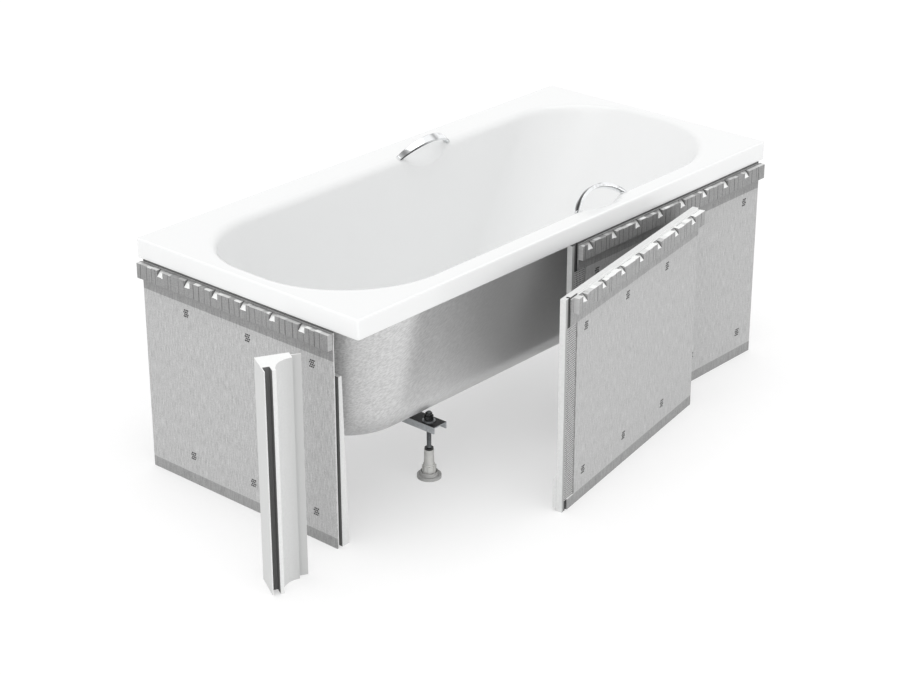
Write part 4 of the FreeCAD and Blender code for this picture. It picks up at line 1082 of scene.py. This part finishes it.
class BATHTUB_OT_edge_mesh(bpy.types.Operator):
    """Builds the open mesh beside the grooves of the front panels"""
    bl_idname = "bathtub.edge_mesh"
    bl_label = "Edge mesh"

    def execute(self, context):
        pitch = context.scene.bath_skirt.strand_pitch / MM
        corner = np.array([MESH_LEFT + MESH_INSET, SKIN - 0.5, BAND_BOTTOM + MESH_INSET])
        uprights = int((MESH_RIGHT - MESH_LEFT - 2 * MESH_INSET) // pitch) + 1
        levels = int((BAND_TOP - BAND_BOTTOM - 2 * MESH_INSET) // pitch) + 1
        warp = strand_bundle(uprights, (levels - 1) * pitch, pitch, 1.0)[..., [1, 2, 0]] + corner
        weft = strand_bundle(levels, (uprights - 1) * pitch, pitch, -1.0)[..., [0, 2, 1]] + corner
        for name in ("right", "left"):
            place = panel_place(name)
            parts = [patch(moved(capped(strand), place)) for strands in (warp, weft) for strand in strands]
            piece(name + "_panel_edge_mesh", parts, strand_finish(), name + "_panel",
                  [name + "_panel_mesh"], 60.0)
        return {"FINISHED"}


# Stage, in metres; lens and sensor in millimetres, the sun's spread in degrees
CAMERA_EYE = (-4.0423, -3.5447, 2.6340)
CAMERA_RIGHT = (0.66519, -0.74667, -0.00198)
CAMERA_FORWARD = (0.67911, 0.60611, -0.41406)
CAMERA_LENS, CAMERA_SENSOR, CAMERA_FAR = 88.76, 36.0, 200.0
WHITE, FLOOR_GREY = (1.0, 1.0, 1.0, 1.0), (0.56, 0.56, 0.56, 1.0)
FLOOR_REACH = 40.0
SUN_SPREAD, LAMP_HEIGHT = 50, 0.6


class BATHTUB_OT_stage(bpy.types.Operator):
    """Sets the white floor, the soft light and the camera"""
    bl_idname = "bathtub.stage"
    bl_label = "Stage"

    def execute(self, context):
        stage = context.scene.bath_stage
        context.scene.view_settings.view_transform = "Standard"
        self.add_world(context, stage)
        self.add_floor(context, stage)
        self.add_lamps(context, stage)
        self.add_camera(context)
        return {"FINISHED"}

    def add_world(self, context, stage):
        """White to the camera and in reflections, a plain even light for the rest."""
        world = bpy.data.worlds.new("White studio")
        world.use_nodes = True
        context.scene.world = world
        world.node_tree.nodes.clear()
        graph = Graph(world.node_tree)
        path = graph.node("ShaderNodeLightPath").outputs
        seen = graph.math("MAXIMUM", graph.math("MAXIMUM", path["Is Camera Ray"], path["Is Glossy Ray"]),
                          path["Is Transmission Ray"])
        strength = graph.range(seen, 0.0, 1.0, stage.sky, 1.0)
        sky = graph.fill(graph.node("ShaderNodeBackground"), {"Color": WHITE, "Strength": strength})
        graph.fill(graph.node("ShaderNodeOutputWorld"), {0: sky[0]})

    def add_floor(self, context, stage):
        """A wide pale floor that looks white to the camera and keeps the shadow."""
        mesh = bpy.data.meshes.new("floor")
        corners = [(x * FLOOR_REACH, y * FLOOR_REACH, 0) for x, y in ((-1, -1), (1, -1), (1, 1), (-1, 1))]
        mesh.from_pydata(corners, [], [(0, 1, 2, 3)])
        floor = bpy.data.objects.new("floor", mesh)
        context.scene.collection.objects.link(floor)
        material, graph = finish("White floor")
        path = graph.node("ShaderNodeLightPath").outputs
        seen = graph.math("MAXIMUM", path["Is Camera Ray"], path["Is Glossy Ray"])
        lift = graph.times(seen, stage.lift)
        plain = graph.fill(graph.node("ShaderNodeBsdfDiffuse"), {"Color": FLOOR_GREY})
        glow = graph.fill(graph.node("ShaderNodeEmission"), {"Color": WHITE, "Strength": lift})
        both = graph.fill(graph.node("ShaderNodeAddShader"), {0: plain[0], 1: glow[0]})
        graph.fill(graph.node("ShaderNodeOutputMaterial"), {0: both[0]})
        mesh.materials.append(material)

    def add_lamps(self, context, stage):
        """A soft sun overhead and two low wide lamps, before the tub and beyond its foot end."""
        top = bpy.data.lights.new("overhead sun", "SUN")
        top.energy = stage.top
        top.angle = math.radians(SUN_SPREAD)
        context.scene.collection.objects.link(bpy.data.objects.new("overhead sun", top))
        for name, power, width, place, back in (
                ("front lamp", stage.front, 7.0, (0.0, -4.2, 0.31), (0, -1, 0)),
                ("side lamp", stage.side, 5.0, (-4.5, -0.7, 0.31), (-1, 0, 0))):
            lamp = bpy.data.lights.new(name, "AREA")
            lamp.shape = "RECTANGLE"
            lamp.energy, lamp.size, lamp.size_y = power, width, LAMP_HEIGHT
            obj = bpy.data.objects.new(name, lamp)
            obj.location = place
            obj.rotation_euler = Vector(back).to_track_quat("Z", "Y").to_euler()
            obj.visible_camera = False
            context.scene.collection.objects.link(obj)

    def add_camera(self, context):
        """The photograph's own viewing angle."""
        data = bpy.data.cameras.new("view")
        data.lens, data.sensor_width, data.clip_end = CAMERA_LENS, CAMERA_SENSOR, CAMERA_FAR
        camera = bpy.data.objects.new("view", data)
        right, forward = np.array(CAMERA_RIGHT), np.array(CAMERA_FORWARD)
        turn = np.eye(4)
        turn[:3] = np.stack([right, np.cross(right, forward), -forward, CAMERA_EYE], 1)
        camera.matrix_world = Matrix(turn.tolist())
        context.scene.collection.objects.link(camera)
        context.scene.camera = camera


OPERATORS = (BATHTUB_OT_tub, BATHTUB_OT_grips, BATHTUB_OT_legs, BATHTUB_OT_waste, BATHTUB_OT_panels,
             BATHTUB_OT_strips, BATHTUB_OT_edge_mesh, BATHTUB_OT_stage)


class BATHTUB_PT_sidebar(bpy.types.Panel):
    """Lists the settings and the pieces"""
    bl_idname = "BATHTUB_PT_sidebar"
    bl_label = "Skirted bathtub"
    bl_space_type = "VIEW_3D"
    bl_region_type = "UI"
    bl_category = "Bathtub"

    def draw(self, context):
        for key, kind in SETTINGS.items():
            box = self.layout.box()
            for label in kind.__annotations__:
                box.prop(getattr(context.scene, key), label)
        for operator in OPERATORS:
            self.layout.operator(operator.bl_idname)


CLASSES = tuple(SETTINGS.values()) + OPERATORS + (BATHTUB_PT_sidebar,)


def register():
    for item in CLASSES:
        bpy.utils.register_class(item)
    for key, kind in SETTINGS.items():
        setattr(bpy.types.Scene, key, bpy.props.PointerProperty(type=kind))


def unregister():
    for key in SETTINGS:
        delattr(bpy.types.Scene, key)
    for item in reversed(CLASSES):
        bpy.utils.unregister_class(item)


def main():
    """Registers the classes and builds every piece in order."""
    register()
    for operator in OPERATORS:
        getattr(bpy.ops.bathtub, operator.bl_idname.split(".")[1])()


if __name__ == "__main__":
    main()
